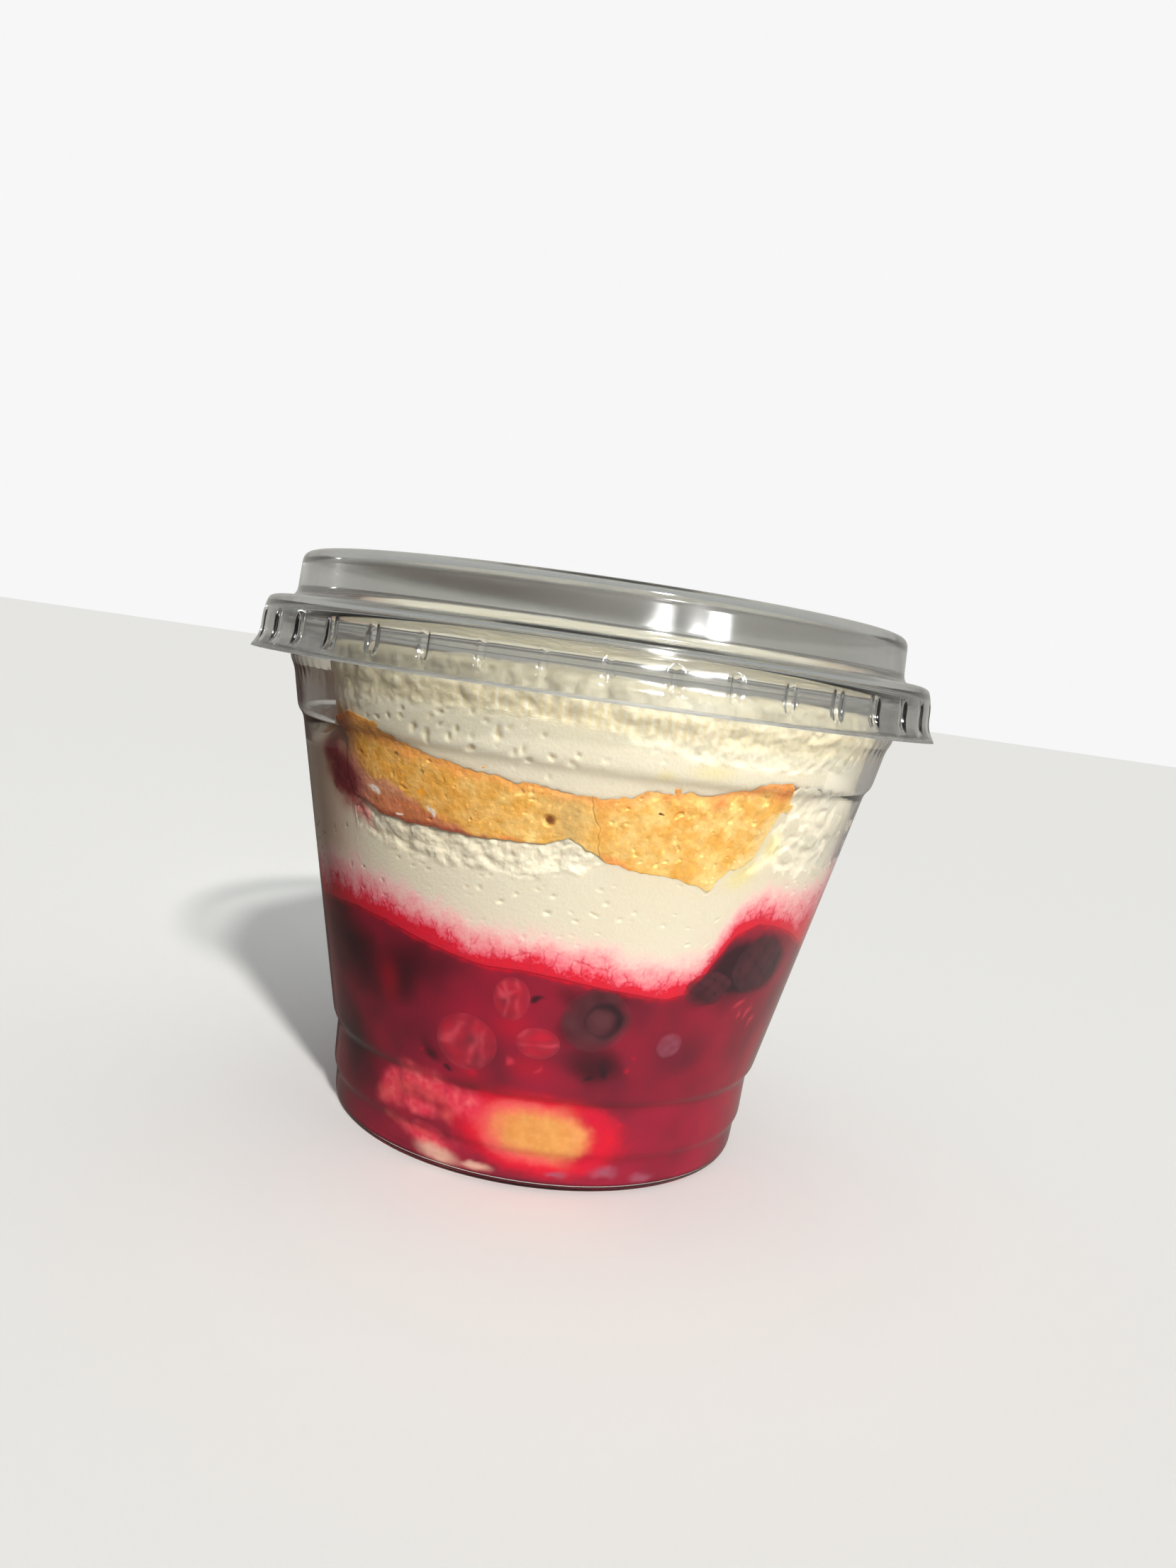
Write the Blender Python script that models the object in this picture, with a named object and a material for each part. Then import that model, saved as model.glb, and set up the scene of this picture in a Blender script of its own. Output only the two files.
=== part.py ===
"""Berry tiramisu in a clear lidded cup: berry compote and soaked sponge at the bottom, cream,
a second layer of sponge, and a heap of cream under a flat domed lid.

Units are metres, +Z is up, and the origin is the middle of the foot. The shown side faces -Y.
Lengths below are written in millimetres and multiplied by MM.
"""

import math

import bmesh
import bpy
from mathutils import Vector

MM = 0.001
GAP = 0.3 * MM
HALF_GAP = GAP / 2

# The cup: a thermoformed shell. Radii and heights of its outside, foot to rim.
CUP_SIDES = 40
CUP_WALL = 0.7 * MM
CUP_FLOOR_Z = 1.5 * MM
FOOT_INNER_R = 25.8 * MM
FLOOR_EDGE_R = 24.5 * MM
FOOT_OUTER_R = 28.2 * MM
CUP_OUTSIDE = [
    (28.9 * MM, 0.4 * MM),
    (29.3 * MM, 1.2 * MM),
    (29.5 * MM, 4.7 * MM),
    (30.0 * MM, 5.6 * MM),
    (30.2 * MM, 12.0 * MM),
    (31.0 * MM, 12.9 * MM),
    (40.1 * MM, 54.0 * MM),
    (40.9 * MM, 54.9 * MM),
    (42.0 * MM, 60.2 * MM),
    (42.7 * MM, 61.5 * MM),
    (42.9 * MM, 65.6 * MM),
]
RIM_BEAD_R = 44.2 * MM
RIM_BEAD_Z = 67.2 * MM
RIM_BEAD_TUBE = 1.35 * MM
RIM_BEAD_START = -130.0
RIM_BEAD_SWEEP = 290.0
RIM_BEAD_STEPS = 4

# The lid: a flat-topped dome, a channel that caps the rim, and a skirt with moulded notches.
LID_NOTCHES = 42
LID_SIDES = 2 * LID_NOTCHES
LID_WALL = 0.6 * MM
LID_TOP_Z = 75.76 * MM
DOME_R = 42.5 * MM
DOME_FOOT_R = 42.8 * MM
DOME_EDGE_ROUND = 1.5 * MM
CHANNEL_TOP_Z = 69.5 * MM
CHANNEL_FLAT_R = 45.5 * MM
SKIRT_OUTSIDE = [
    (46.3 * MM, 69.1 * MM),
    (46.6 * MM, 68.2 * MM),
    (46.85 * MM, 66.7 * MM),
    (47.05 * MM, 64.2 * MM),
    (48.0 * MM, 62.3 * MM),
]
NOTCH_RANGE_Z = (63.5 * MM, 67.5 * MM)
NOTCH_DEPTH = 0.35 * MM

# Levels between the layers, as a height and swells of (x of the middle, width, height) across the cup.
COMPOTE_LEVEL = 30.3 * MM
COMPOTE_SWELLS = [
    (-27.5 * MM, 12.0 * MM, 2.8 * MM),
    (14.0 * MM, 5.0 * MM, -2.9 * MM),
    (32.0 * MM, 5.5 * MM, 2.4 * MM),
]
COMPOTE_CREST = (26.0 * MM, -26.5 * MM, 6.4 * MM, 6.6 * MM)
CREAM_LEVEL = 56.0 * MM
CREAM_SWELLS = [
    (-1.5 * MM, 17.0 * MM, -4.6 * MM),
    (10.0 * MM, 3.5 * MM, 0.8 * MM),
    (-43.0 * MM, 8.0 * MM, -5.0 * MM),
    (44.0 * MM, 9.0 * MM, -3.6 * MM),
]
LAYER_WAVE = 0.45 * MM
LAYER_WAVE_LENGTH = 31.0 * MM
LAYER_WAVE_SKEW = 0.4
LAYER_WAVE_STRETCH = 1.7
COMPOTE_PHASE = 0.4
CREAM_PHASE = 1.9
UPPER_BLOCK_PHASE = 2.7
BOTTOM_BLOCK_PHASE = 0.9

# The heap of cream on top: its mean level, its spoonful-sized lumps, and how far it draws in from the wall.
HEAP_LEVEL = 64.6 * MM
HEAP_LUMP = 1.1 * MM
HEAP_LUMP_LENGTHS = (19.0 * MM, 14.0 * MM)
HEAP_LUMP_SKEWS = (0.5, -0.3)
HEAP_LUMP_PHASE = 0.8
HEAP_EDGE_START_R = 33.0 * MM
HEAP_EDGE_DROP = 6.0 * MM
HEAP_EDGE_POWER = 1.5
HEAP_HEADROOM = 6.0 * MM
HEAP_INSETS = [
    (-92.0, 42.0, 6.5 * MM),
    (86.0, 32.0, 1.8 * MM),
]
HEAP_INSET_Z = (51.5 * MM, 56.5 * MM)

# Sponge blocks run from front to back. Each has its left and right ends in x, the level of its free side at
# the middle, how that side tilts with x, and how far it is rounded off at the left and the right end.
BLOCK_REACH_Y = 46.0 * MM
UPPER_LEFT = {
    "ends": (-31.0 * MM, 1.6 * MM),
    "level": 44.9 * MM,
    "tilt": 0.0,
    "rounds": (4.0 * MM, 2.4 * MM),
}
UPPER_RIGHT = {
    "ends": (1.9 * MM, 25.6 * MM),
    "level": 42.6 * MM,
    "tilt": -0.08,
    "rounds": (3.2 * MM, 9.5 * MM),
}
BOTTOM_FRONT = {
    "ends": (-11.0 * MM, 10.4 * MM),
    "level": 12.4 * MM,
    "tilt": 0.10,
    "rounds": (1.0 * MM, 6.0 * MM),
}
BOTTOM_LEFT = {
    "ends": (-21.5 * MM, -11.3 * MM),
    "level": 8.6 * MM,
    "tilt": 0.22,
    "rounds": (2.0 * MM, 0.6 * MM),
}
BLOCK_ROUND_POWER = 6
BLOCK_COLUMNS = 8
BLOCK_ROWS = 6
BLOCK_SWAY = 0.7 * MM
BLOCK_SWAY_PHASE = 0.6
POCKET_REACH = 12.0 * MM
BELOW_FLOOR = 4.0 * MM
FILLING_PLUG_TOP = 60.0 * MM

# Fruit against the wall: azimuth from the front in degrees, height, and half sizes along the wall, into the
# cup and upwards. Compound fruit has drupelets that stand out from its body.
ROUND_FRUIT = {
    "blueberry": (9.0, 24.0 * MM, (4.5 * MM, 4.3 * MM, 4.1 * MM)),
    "redcurrant_large": (-17.0, 18.4 * MM, (3.7 * MM, 3.6 * MM, 3.6 * MM)),
    "redcurrant_upper": (-8.0, 25.2 * MM, (2.0 * MM, 2.2 * MM, 2.7 * MM)),
    "redcurrant_small": (-1.0, 18.6 * MM, (2.4 * MM, 2.2 * MM, 1.8 * MM)),
    "redcurrant_pale": (29.2, 21.0 * MM, (2.1 * MM, 2.1 * MM, 2.1 * MM)),
}
DRUPELET_FRUIT = {
    "dark_berry_right": (48.0, 31.8 * MM, (5.6 * MM, 4.6 * MM, 4.9 * MM)),
    "dark_berry_right_low": (32.6, 27.4 * MM, (3.6 * MM, 3.6 * MM, 2.6 * MM)),
    "dark_berry_left": (-49.5, 47.6 * MM, (4.8 * MM, 4.4 * MM, 3.9 * MM)),
}
DRUPELET_RELIEF = 0.10
DRUPELET_TIP_ALIGNMENT = 0.999
FRUIT_PRESS = 0.5 * MM
ROUND_FRUIT_SEGMENTS = (10, 7)

# Where the layer surfaces are sampled, across and along the cup.
SHEET_HALF = 46.0 * MM
SHEET_COLUMNS = 20
SHEET_ROWS = 12

# Points closer than these are one, and edges sharper than these angles stay creased.
SPIN_MERGE = 0.001 * MM
CUT_MERGE = 0.002 * MM
FOOD_CREASE = 40.0
SHELL_CREASE = 30.0


def clear_scene():
    """Remove whatever the file held before."""
    for item in list(bpy.data.objects):
        bpy.data.objects.remove(item, do_unlink=True)


def finish(name, colour, roughness, transmission=0.0):
    """A Principled material of one colour."""
    material = bpy.data.materials.new(name)
    material.use_nodes = True
    shader = material.node_tree.nodes["Principled BSDF"]
    shader.inputs["Base Color"].default_value = (*colour, 1.0)
    shader.inputs["Roughness"].default_value = roughness
    shader.inputs["Metallic"].default_value = 0.0
    shader.inputs["Transmission Weight"].default_value = transmission
    return material


def object_from(name, mesh_data, material=None):
    """Turn a bmesh into a linked object with outward faces."""
    bmesh.ops.recalc_face_normals(mesh_data, faces=mesh_data.faces)
    mesh = bpy.data.meshes.new(name)
    mesh_data.to_mesh(mesh)
    mesh_data.free()
    item = bpy.data.objects.new(name, mesh)
    bpy.context.collection.objects.link(item)
    if material is not None:
        mesh.materials.append(material)
    return item


def combine(target, tool, operation):
    """Apply one exact Boolean of the tool to the target's mesh."""
    modifier = target.modifiers.new(operation.lower(), "BOOLEAN")
    modifier.operation = operation
    modifier.solver = "EXACT"
    modifier.object = tool
    bpy.context.view_layer.update()
    result = bpy.data.meshes.new_from_object(target.evaluated_get(bpy.context.evaluated_depsgraph_get()))
    target.modifiers.clear()
    materials = list(target.data.materials)
    target.data = result
    result.materials.clear()
    for material in materials:
        result.materials.append(material)


def discard(*tools):
    """Remove shapes that only served to cut others."""
    for tool in tools:
        bpy.data.objects.remove(tool, do_unlink=True)


def smooth(item, angle=FOOD_CREASE):
    """Merge crumbs left by the cuts and shade the round faces smooth."""
    mesh_data = bmesh.new()
    mesh_data.from_mesh(item.data)
    bmesh.ops.remove_doubles(mesh_data, verts=mesh_data.verts, dist=CUT_MERGE)
    bmesh.ops.triangulate(mesh_data, faces=mesh_data.faces)
    mesh_data.to_mesh(item.data)
    mesh_data.free()
    item.data.shade_smooth()
    item.data.set_sharp_from_angle(angle=math.radians(angle))


def turned(name, profile, sides, material=None):
    """Spin a closed (radius, height) profile, given from axis to axis, about +Z."""
    mesh_data = bmesh.new()
    points = [mesh_data.verts.new((radius, 0.0, height)) for radius, height in profile]
    edges = [mesh_data.edges.new(pair) for pair in zip(points, points[1:])]
    bmesh.ops.spin(mesh_data, geom=points + edges, cent=(0, 0, 0), axis=(0, 0, 1), angle=2 * math.pi,
                   steps=sides, use_merge=True)
    bmesh.ops.remove_doubles(mesh_data, verts=mesh_data.verts, dist=SPIN_MERGE)
    return object_from(name, mesh_data, material)


def cup_inside(height_shift, radius_shift):
    """The inside of the shell, foot channel to shoulder, moved in and up by the given amounts."""
    floor = CUP_FLOOR_Z + CUP_WALL + height_shift
    channel = CUP_WALL + height_shift
    inset = CUP_WALL + radius_shift
    profile = [(0.0, floor), (FLOOR_EDGE_R + radius_shift / 2, floor)]
    profile += [(FOOT_INNER_R + radius_shift / 2, channel), (FOOT_OUTER_R - inset / 2, channel)]
    profile += [(CUP_OUTSIDE[1][0] - inset, CUP_OUTSIDE[1][1] + height_shift)]
    profile += [(radius - inset, height) for radius, height in CUP_OUTSIDE[2:]]
    return profile


def make_cup():
    """The clear shell: raised floor, foot ring, two steps, tapered wall, shoulder and rolled rim."""
    outside = [(0.0, CUP_FLOOR_Z), (FLOOR_EDGE_R, CUP_FLOOR_Z), (FOOT_INNER_R, 0.0), (FOOT_OUTER_R, 0.0)]
    outside += CUP_OUTSIDE
    bead = []
    for step in range(RIM_BEAD_STEPS + 1):
        angle = math.radians(RIM_BEAD_START + RIM_BEAD_SWEEP * step / RIM_BEAD_STEPS)
        radius = RIM_BEAD_R + RIM_BEAD_TUBE * math.cos(angle)
        bead.append((radius, RIM_BEAD_Z + RIM_BEAD_TUBE * math.sin(angle)))
    inside = list(reversed(cup_inside(0.0, 0.0)))
    material = finish("cup_clear", (0.93, 0.96, 0.97), 0.05, 0.9)
    return turned("cup", outside + bead + inside, CUP_SIDES, material)


def make_lid():
    """The clear cap: a flat dome, the channel over the rim, and the notched skirt, open below."""
    corner = DOME_EDGE_ROUND * (1 - math.sqrt(0.5))
    outside = [(0.0, LID_TOP_Z), (DOME_R - DOME_EDGE_ROUND, LID_TOP_Z), (DOME_R - corner, LID_TOP_Z - corner)]
    outside += [(DOME_R, LID_TOP_Z - DOME_EDGE_ROUND), (DOME_FOOT_R, CHANNEL_TOP_Z + LID_WALL)]
    outside += [(DOME_FOOT_R + LID_WALL, CHANNEL_TOP_Z), (CHANNEL_FLAT_R, CHANNEL_TOP_Z)]
    outside += SKIRT_OUTSIDE
    inside = [(radius - LID_WALL, height) for radius, height in reversed(SKIRT_OUTSIDE[1:])]
    inside += [(CHANNEL_FLAT_R - LID_WALL / 2, CHANNEL_TOP_Z - LID_WALL)]
    inside += [(DOME_FOOT_R, CHANNEL_TOP_Z - LID_WALL), (DOME_FOOT_R - LID_WALL, CHANNEL_TOP_Z)]
    inside += [(DOME_R - LID_WALL, LID_TOP_Z - DOME_EDGE_ROUND)]
    inside += [(DOME_R - DOME_EDGE_ROUND, LID_TOP_Z - LID_WALL), (0.0, LID_TOP_Z - LID_WALL)]
    material = finish("lid_clear", (0.90, 0.93, 0.95), 0.07, 0.9)
    lid = turned("lid", outside + inside, LID_SIDES, material)
    low, high = NOTCH_RANGE_Z
    for vertex in lid.data.vertices:
        radius = math.hypot(vertex.co.x, vertex.co.y)
        turn = math.atan2(vertex.co.y, vertex.co.x) / (2 * math.pi) * LID_SIDES
        if low < vertex.co.z < high and round(turn) % 2:
            vertex.co.x *= 1 - NOTCH_DEPTH / radius
            vertex.co.y *= 1 - NOTCH_DEPTH / radius
    return lid


def filling_plug(top):
    """Everything inside the cup up to a height, a gap clear of the wall and the floor."""
    profile = cup_inside(GAP, GAP)
    profile = [point for point in profile if point[1] < top]
    profile += [(profile[-1][0], top), (0.0, top)]
    return turned("plug", profile, CUP_SIDES)


def swells(x, items):
    """The sum of bell-shaped swells of (middle, width, height) at x."""
    return sum(height * math.exp(-((x - middle) / width) ** 2) for middle, width, height in items)


def wave(x, y, phase):
    """A slow unevenness that keeps the layers from lying flat out of sight."""
    along = math.sin(2 * math.pi * y / LAYER_WAVE_LENGTH + phase)
    across = math.sin(2 * math.pi * (x + LAYER_WAVE_SKEW * y) / (LAYER_WAVE_STRETCH * LAYER_WAVE_LENGTH)
                      + 2 * phase)
    return LAYER_WAVE * (along + across) / 2


def compote_surface(x, y):
    """The top of the compote, with a crest where a dark fruit pushes up at the right of the shown side."""
    middle_x, middle_y, rise, width = COMPOTE_CREST
    distance = math.hypot(x - middle_x, y - middle_y)
    crest = rise * math.exp(-(distance / width) ** 2)
    return COMPOTE_LEVEL + swells(x, COMPOTE_SWELLS) + crest + wave(x, y, COMPOTE_PHASE)


def sponge_surface(x, y):
    """The top of the upper sponge, on which the heap of cream lies."""
    return CREAM_LEVEL + swells(x, CREAM_SWELLS) + wave(x, y, CREAM_PHASE)


def heap_surface(x, y):
    """The uneven top of the cream, falling off towards the wall."""
    first, second = HEAP_LUMP_LENGTHS
    across = x + HEAP_LUMP_SKEWS[0] * y
    along = y + HEAP_LUMP_SKEWS[1] * x
    lumps = math.sin(2 * math.pi * across / first) * math.sin(2 * math.pi * along / second + HEAP_LUMP_PHASE)
    beyond = (math.hypot(x, y) - HEAP_EDGE_START_R) / (SHEET_HALF - HEAP_EDGE_START_R)
    fall = HEAP_EDGE_DROP * min(1.0, max(0.0, beyond)) ** HEAP_EDGE_POWER
    return HEAP_LEVEL + HEAP_LUMP * lumps - fall


def layer(name, low, high):
    """A wide slab between two surfaces given as height functions of x and y."""
    mesh_data = bmesh.new()
    bmesh.ops.create_grid(mesh_data, x_segments=SHEET_COLUMNS, y_segments=SHEET_ROWS, size=SHEET_HALF)
    bmesh.ops.triangulate(mesh_data, faces=mesh_data.faces)
    base = list(mesh_data.verts)
    grown = bmesh.ops.extrude_face_region(mesh_data, geom=list(mesh_data.faces))
    for vertex in grown["geom"]:
        if isinstance(vertex, bmesh.types.BMVert):
            vertex.co.z = high(vertex.co.x, vertex.co.y)
    for vertex in base:
        vertex.co.z = low(vertex.co.x, vertex.co.y)
    return object_from(name, mesh_data)


def block_offset(block, x):
    """How far the free side of a sponge block lies from its level at x, by its tilt alone."""
    return block["tilt"] * (x - sum(block["ends"]) / 2)


def sponge_block(name, block, grow, low, high, rounded, material=None):
    """A block between two height functions that runs right through the cup from front to back.

    The columns crowd towards the ends, where the rounded side, 1 for the underside or -1 for the top,
    bends towards the other one. The whole grows by the given amount, so that the same shape can cut
    its own pocket.
    """
    mesh_data = bmesh.new()
    bmesh.ops.create_grid(mesh_data, x_segments=BLOCK_COLUMNS, y_segments=BLOCK_ROWS, size=1.0)
    bmesh.ops.triangulate(mesh_data, faces=mesh_data.faces)
    base = list(mesh_data.verts)
    grown = bmesh.ops.extrude_face_region(mesh_data, geom=list(mesh_data.faces))
    raised = [item for item in grown["geom"] if isinstance(item, bmesh.types.BMVert)]
    left, right = block["ends"]
    for group, surface, sign in ((base, low, 1), (raised, high, -1)):
        for vertex in group:
            across = math.sin(vertex.co.x * math.pi / 2)
            y = vertex.co.y * BLOCK_REACH_Y
            sway = BLOCK_SWAY * math.sin(2 * math.pi * y / LAYER_WAVE_LENGTH + BLOCK_SWAY_PHASE)
            x = (left + right) / 2 + (right - left) / 2 * across + sway
            height = surface(x, y) - sign * grow
            if sign == rounded:
                end_bend = 1 - math.sqrt(max(0.0, 1 - abs(across) ** BLOCK_ROUND_POWER))
                height += sign * block["rounds"][across > 0] * end_bend
            vertex.co = Vector((x + grow * across, y, height))
    return object_from(name, mesh_data, material)


def upper_block(name, block, grow, material=None):
    """One block of the upper sponge; its pocket is open to the cream above it."""
    def low(x, y):
        return block["level"] + block_offset(block, x) + wave(x, y, UPPER_BLOCK_PHASE)

    def high(x, y):
        level = sponge_surface(x, y) - HALF_GAP
        return level if grow == 0.0 else level + POCKET_REACH

    return sponge_block(name, block, grow, low, high, 1, material)


def bottom_block(name, block, grow, material=None):
    """One block of the soaked sponge that stands on the cup's floor."""
    def low(x, y):
        return -BELOW_FLOOR

    def high(x, y):
        return block["level"] + block_offset(block, x) + wave(x, y, BOTTOM_BLOCK_PHASE)

    return sponge_block(name, block, grow, low, high, -1, material)


def heap_limit():
    """The outline of the heap: the inside of the cup, drawn in where the cream leaves the wall."""
    top = HEAP_LEVEL + HEAP_HEADROOM
    plug = filling_plug(top)
    mesh_data = bmesh.new()
    mesh_data.from_mesh(plug.data)
    start, end = HEAP_INSET_Z
    for vertex in mesh_data.verts:
        radius = math.hypot(vertex.co.x, vertex.co.y)
        if radius < HEAP_EDGE_START_R:
            continue
        azimuth = math.degrees(math.atan2(vertex.co.x, -vertex.co.y))
        share = min(1.0, max(0.0, (vertex.co.z - start) / (end - start)))
        inset = 0.0
        for middle, width, depth in HEAP_INSETS:
            turn = (azimuth - middle + 180.0) % 360.0 - 180.0
            inset += depth * math.exp(-(turn / width) ** 2)
        vertex.co.x *= 1 - share * inset / radius
        vertex.co.y *= 1 - share * inset / radius
    mesh_data.to_mesh(plug.data)
    mesh_data.free()
    return plug


def fruit_place(azimuth, height, half_sizes):
    """Where a fruit's middle lies so that its outer side just passes the filling's wall."""
    steps = cup_inside(GAP, GAP)
    for (low_r, low_z), (high_r, high_z) in zip(steps[4:], steps[5:]):
        if low_z <= height <= high_z:
            wall = low_r + (high_r - low_r) * (height - low_z) / (high_z - low_z)
    distance = wall - half_sizes[1] + FRUIT_PRESS
    angle = math.radians(azimuth)
    return Vector((distance * math.sin(angle), -distance * math.cos(angle), height))


def fruit_body(name, azimuth, height, half_sizes, grow, drupelets, material=None):
    """A fruit's ellipsoid, turned to lie along the wall, with drupelets where asked."""
    mesh_data = bmesh.new()
    if drupelets:
        bmesh.ops.create_icosphere(mesh_data, subdivisions=2, radius=1.0)
        tips = [vertex.co.normalized() for vertex in mesh_data.verts]
        bmesh.ops.subdivide_edges(mesh_data, edges=mesh_data.edges, cuts=1, use_grid_fill=True)
        for vertex in mesh_data.verts:
            vertex.co.normalize()
            nearest = max(vertex.co.dot(tip) for tip in tips)
            vertex.co *= 1.0 if nearest > DRUPELET_TIP_ALIGNMENT else 1.0 - DRUPELET_RELIEF
    else:
        columns, rows = ROUND_FRUIT_SEGMENTS
        bmesh.ops.create_uvsphere(mesh_data, u_segments=columns, v_segments=rows, radius=1.0)
    place = fruit_place(azimuth, height, half_sizes)
    turn = math.radians(azimuth)
    for vertex in mesh_data.verts:
        along = vertex.co.x * (half_sizes[0] + grow)
        inward = vertex.co.y * (half_sizes[1] + grow)
        upward = vertex.co.z * (half_sizes[2] + grow)
        vertex.co = place + Vector((along * math.cos(turn) - inward * math.sin(turn),
                                    along * math.sin(turn) + inward * math.cos(turn), upward))
    return object_from(name, mesh_data, material)


def make_fruit(plug):
    """Every fruit that shows at the wall, cut flush with the filling's outer face."""
    colours = {
        "blueberry": (0.05, 0.02, 0.06),
        "redcurrant": (0.55, 0.02, 0.05),
        "dark_berry": (0.07, 0.01, 0.03),
    }
    fruit = {}
    for group, drupelets in ((ROUND_FRUIT, False), (DRUPELET_FRUIT, True)):
        for name, (azimuth, height, half_sizes) in group.items():
            colour = next(value for key, value in colours.items() if name.startswith(key))
            material = finish(name + "_flesh", colour, 0.35)
            body = fruit_body(name, azimuth, height, half_sizes, 0.0, drupelets, material)
            combine(body, plug, "INTERSECT")
            smooth(body)
            fruit[name] = body
    return fruit


def cut_fruit_pockets(target, names):
    """Give a layer the pockets of the fruit that lies in it, a gap wider than the fruit."""
    places = {**ROUND_FRUIT, **DRUPELET_FRUIT}
    for name in names:
        azimuth, height, half_sizes = places[name]
        pocket = fruit_body("pocket", azimuth, height, half_sizes, GAP, False)
        combine(target, pocket, "DIFFERENCE")
        discard(pocket)


def make_layers(plug):
    """The creams, the sponge blocks and the compote, each right through the cup."""
    cream = finish("whipped_cream", (0.90, 0.87, 0.76), 0.55)
    sponge = finish("sponge_cake", (0.85, 0.60, 0.22), 0.85)
    soaked = finish("soaked_sponge", (0.72, 0.25, 0.15), 0.7)
    compote = finish("berry_compote", (0.42, 0.01, 0.05), 0.25)

    cream_top = layer("cream_top", lambda x, y: sponge_surface(x, y) + HALF_GAP, heap_surface)
    cream_top.data.materials.append(cream)
    limit = heap_limit()
    combine(cream_top, limit, "INTERSECT")
    discard(limit)

    cream_lower = layer("cream_lower", lambda x, y: compote_surface(x, y) + HALF_GAP,
                        lambda x, y: sponge_surface(x, y) - HALF_GAP)
    cream_lower.data.materials.append(cream)
    combine(cream_lower, plug, "INTERSECT")

    upper = {"sponge_upper_left": UPPER_LEFT, "sponge_upper_right": UPPER_RIGHT}
    for name, block in upper.items():
        body = upper_block(name, block, 0.0, sponge)
        combine(body, plug, "INTERSECT")
        pocket = upper_block("pocket", block, GAP)
        combine(cream_lower, pocket, "DIFFERENCE")
        discard(pocket)
        if name == "sponge_upper_left":
            cut_fruit_pockets(body, ["dark_berry_left"])
        smooth(body)
    cut_fruit_pockets(cream_lower, list(DRUPELET_FRUIT))

    filling = layer("berry_compote", lambda x, y: -BELOW_FLOOR, lambda x, y: compote_surface(x, y) - HALF_GAP)
    filling.data.materials.append(compote)
    combine(filling, plug, "INTERSECT")
    bottom = {"sponge_bottom_front": BOTTOM_FRONT, "sponge_bottom_left": BOTTOM_LEFT}
    for name, block in bottom.items():
        body = bottom_block(name, block, 0.0, soaked)
        combine(body, plug, "INTERSECT")
        smooth(body)
        pocket = bottom_block("pocket", block, GAP)
        combine(filling, pocket, "DIFFERENCE")
        discard(pocket)
    cut_fruit_pockets(filling, list(ROUND_FRUIT) + ["dark_berry_right", "dark_berry_right_low"])
    for body in (cream_top, cream_lower, filling):
        smooth(body)


def main():
    """Build the cup, its lid and its filling."""
    clear_scene()
    smooth(make_cup(), SHELL_CREASE)
    smooth(make_lid(), SHELL_CREASE)
    plug = filling_plug(FILLING_PLUG_TOP)
    make_fruit(plug)
    make_layers(plug)
    discard(plug)


main()
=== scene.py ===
"""The looks of the berry tiramisu cup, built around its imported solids.

Shapes are worked out in millimetres, with azimuths in degrees from the shown side, plus to the right. They
become metres where a mesh is made.
"""

import bpy
import numpy as np
from mathutils import Euler, Matrix, Vector


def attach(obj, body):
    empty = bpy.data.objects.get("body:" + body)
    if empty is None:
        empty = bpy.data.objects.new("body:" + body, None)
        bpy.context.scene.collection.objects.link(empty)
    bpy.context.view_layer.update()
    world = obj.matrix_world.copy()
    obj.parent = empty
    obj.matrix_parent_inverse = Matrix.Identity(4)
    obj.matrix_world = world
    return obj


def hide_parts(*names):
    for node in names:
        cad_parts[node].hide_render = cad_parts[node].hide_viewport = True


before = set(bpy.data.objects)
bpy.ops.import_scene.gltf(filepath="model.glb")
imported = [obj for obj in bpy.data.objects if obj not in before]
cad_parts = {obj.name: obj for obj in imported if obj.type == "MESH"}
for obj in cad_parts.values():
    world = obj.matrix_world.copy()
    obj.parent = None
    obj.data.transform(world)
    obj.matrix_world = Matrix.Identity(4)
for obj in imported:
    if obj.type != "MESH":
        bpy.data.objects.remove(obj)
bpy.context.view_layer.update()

MM = 0.001


# The photograph's view and a studio: a camera level with the cup's rim and rolled to the side, a pale floor,
# one warm lamp like a low sun from the front right, and surroundings that are dim and brown on the left,
# brighter on the right and grey behind. The camera sees a plain pale backdrop instead of them.
CAMERA_PLACE = (0.0, -171.0 * MM, 65.46 * MM)
CAMERA_YAW = -0.0070
CAMERA_PITCH = 0.0961
CAMERA_ROLL = 0.1445
CAMERA_LENS = 27.03
SENSOR_WIDE = 36.0
NEAREST_SEEN = 0.005
FLOOR_HALF = 6.0
FLOOR_COLOUR = (0.94, 0.95, 0.97, 1.0)
FLOOR_DIM = (0.075, 0.047, 0.040, 1.0)
FLOOR_LIT = (0.42, 0.40, 0.385, 1.0)
FLOOR_CHANGE = (-0.13, 0.09)
FLOOR_NEAR = 0.056
KEY_AZIMUTH = 21.0
KEY_HEIGHT = 33.0
KEY_STRENGTH = 2.78
KEY_COLOUR = (1.0, 0.965, 0.90)
KEY_ANGLE = 4.0
GLARES = [(32.4, 7.0), (16.4, 2.2), (-113.0, 0.14)]
GLARE_HEIGHT = 9.5
GLARE_AWAY = 1.2
GLARE_SIZE = (0.085, 0.034)
GLARE_AIM = Vector((0.0, 0.0, 0.07))
ROUND_LEFT = (0.040, 0.028, 0.022, 1.0)
ROUND_CHANGES = [("X", -0.35, 0.85, (0.19, 0.175, 0.165, 1.0)), ("Y", -0.05, 0.45, (0.50, 0.49, 0.455, 1.0)),
                 ("Z", 0.25, 0.80, (0.42, 0.43, 0.42, 1.0))]
BACKDROP = (0.93, 0.93, 0.93, 1.0)


def direction(azimuth, height):
    """Towards a lamp: its azimuth from the shown side, plus to the right, and its height over the floor."""
    azimuth, height = np.radians(azimuth), np.radians(height)
    return Vector((np.sin(azimuth) * np.cos(height), -np.cos(azimuth) * np.cos(height), np.sin(height)))


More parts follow.
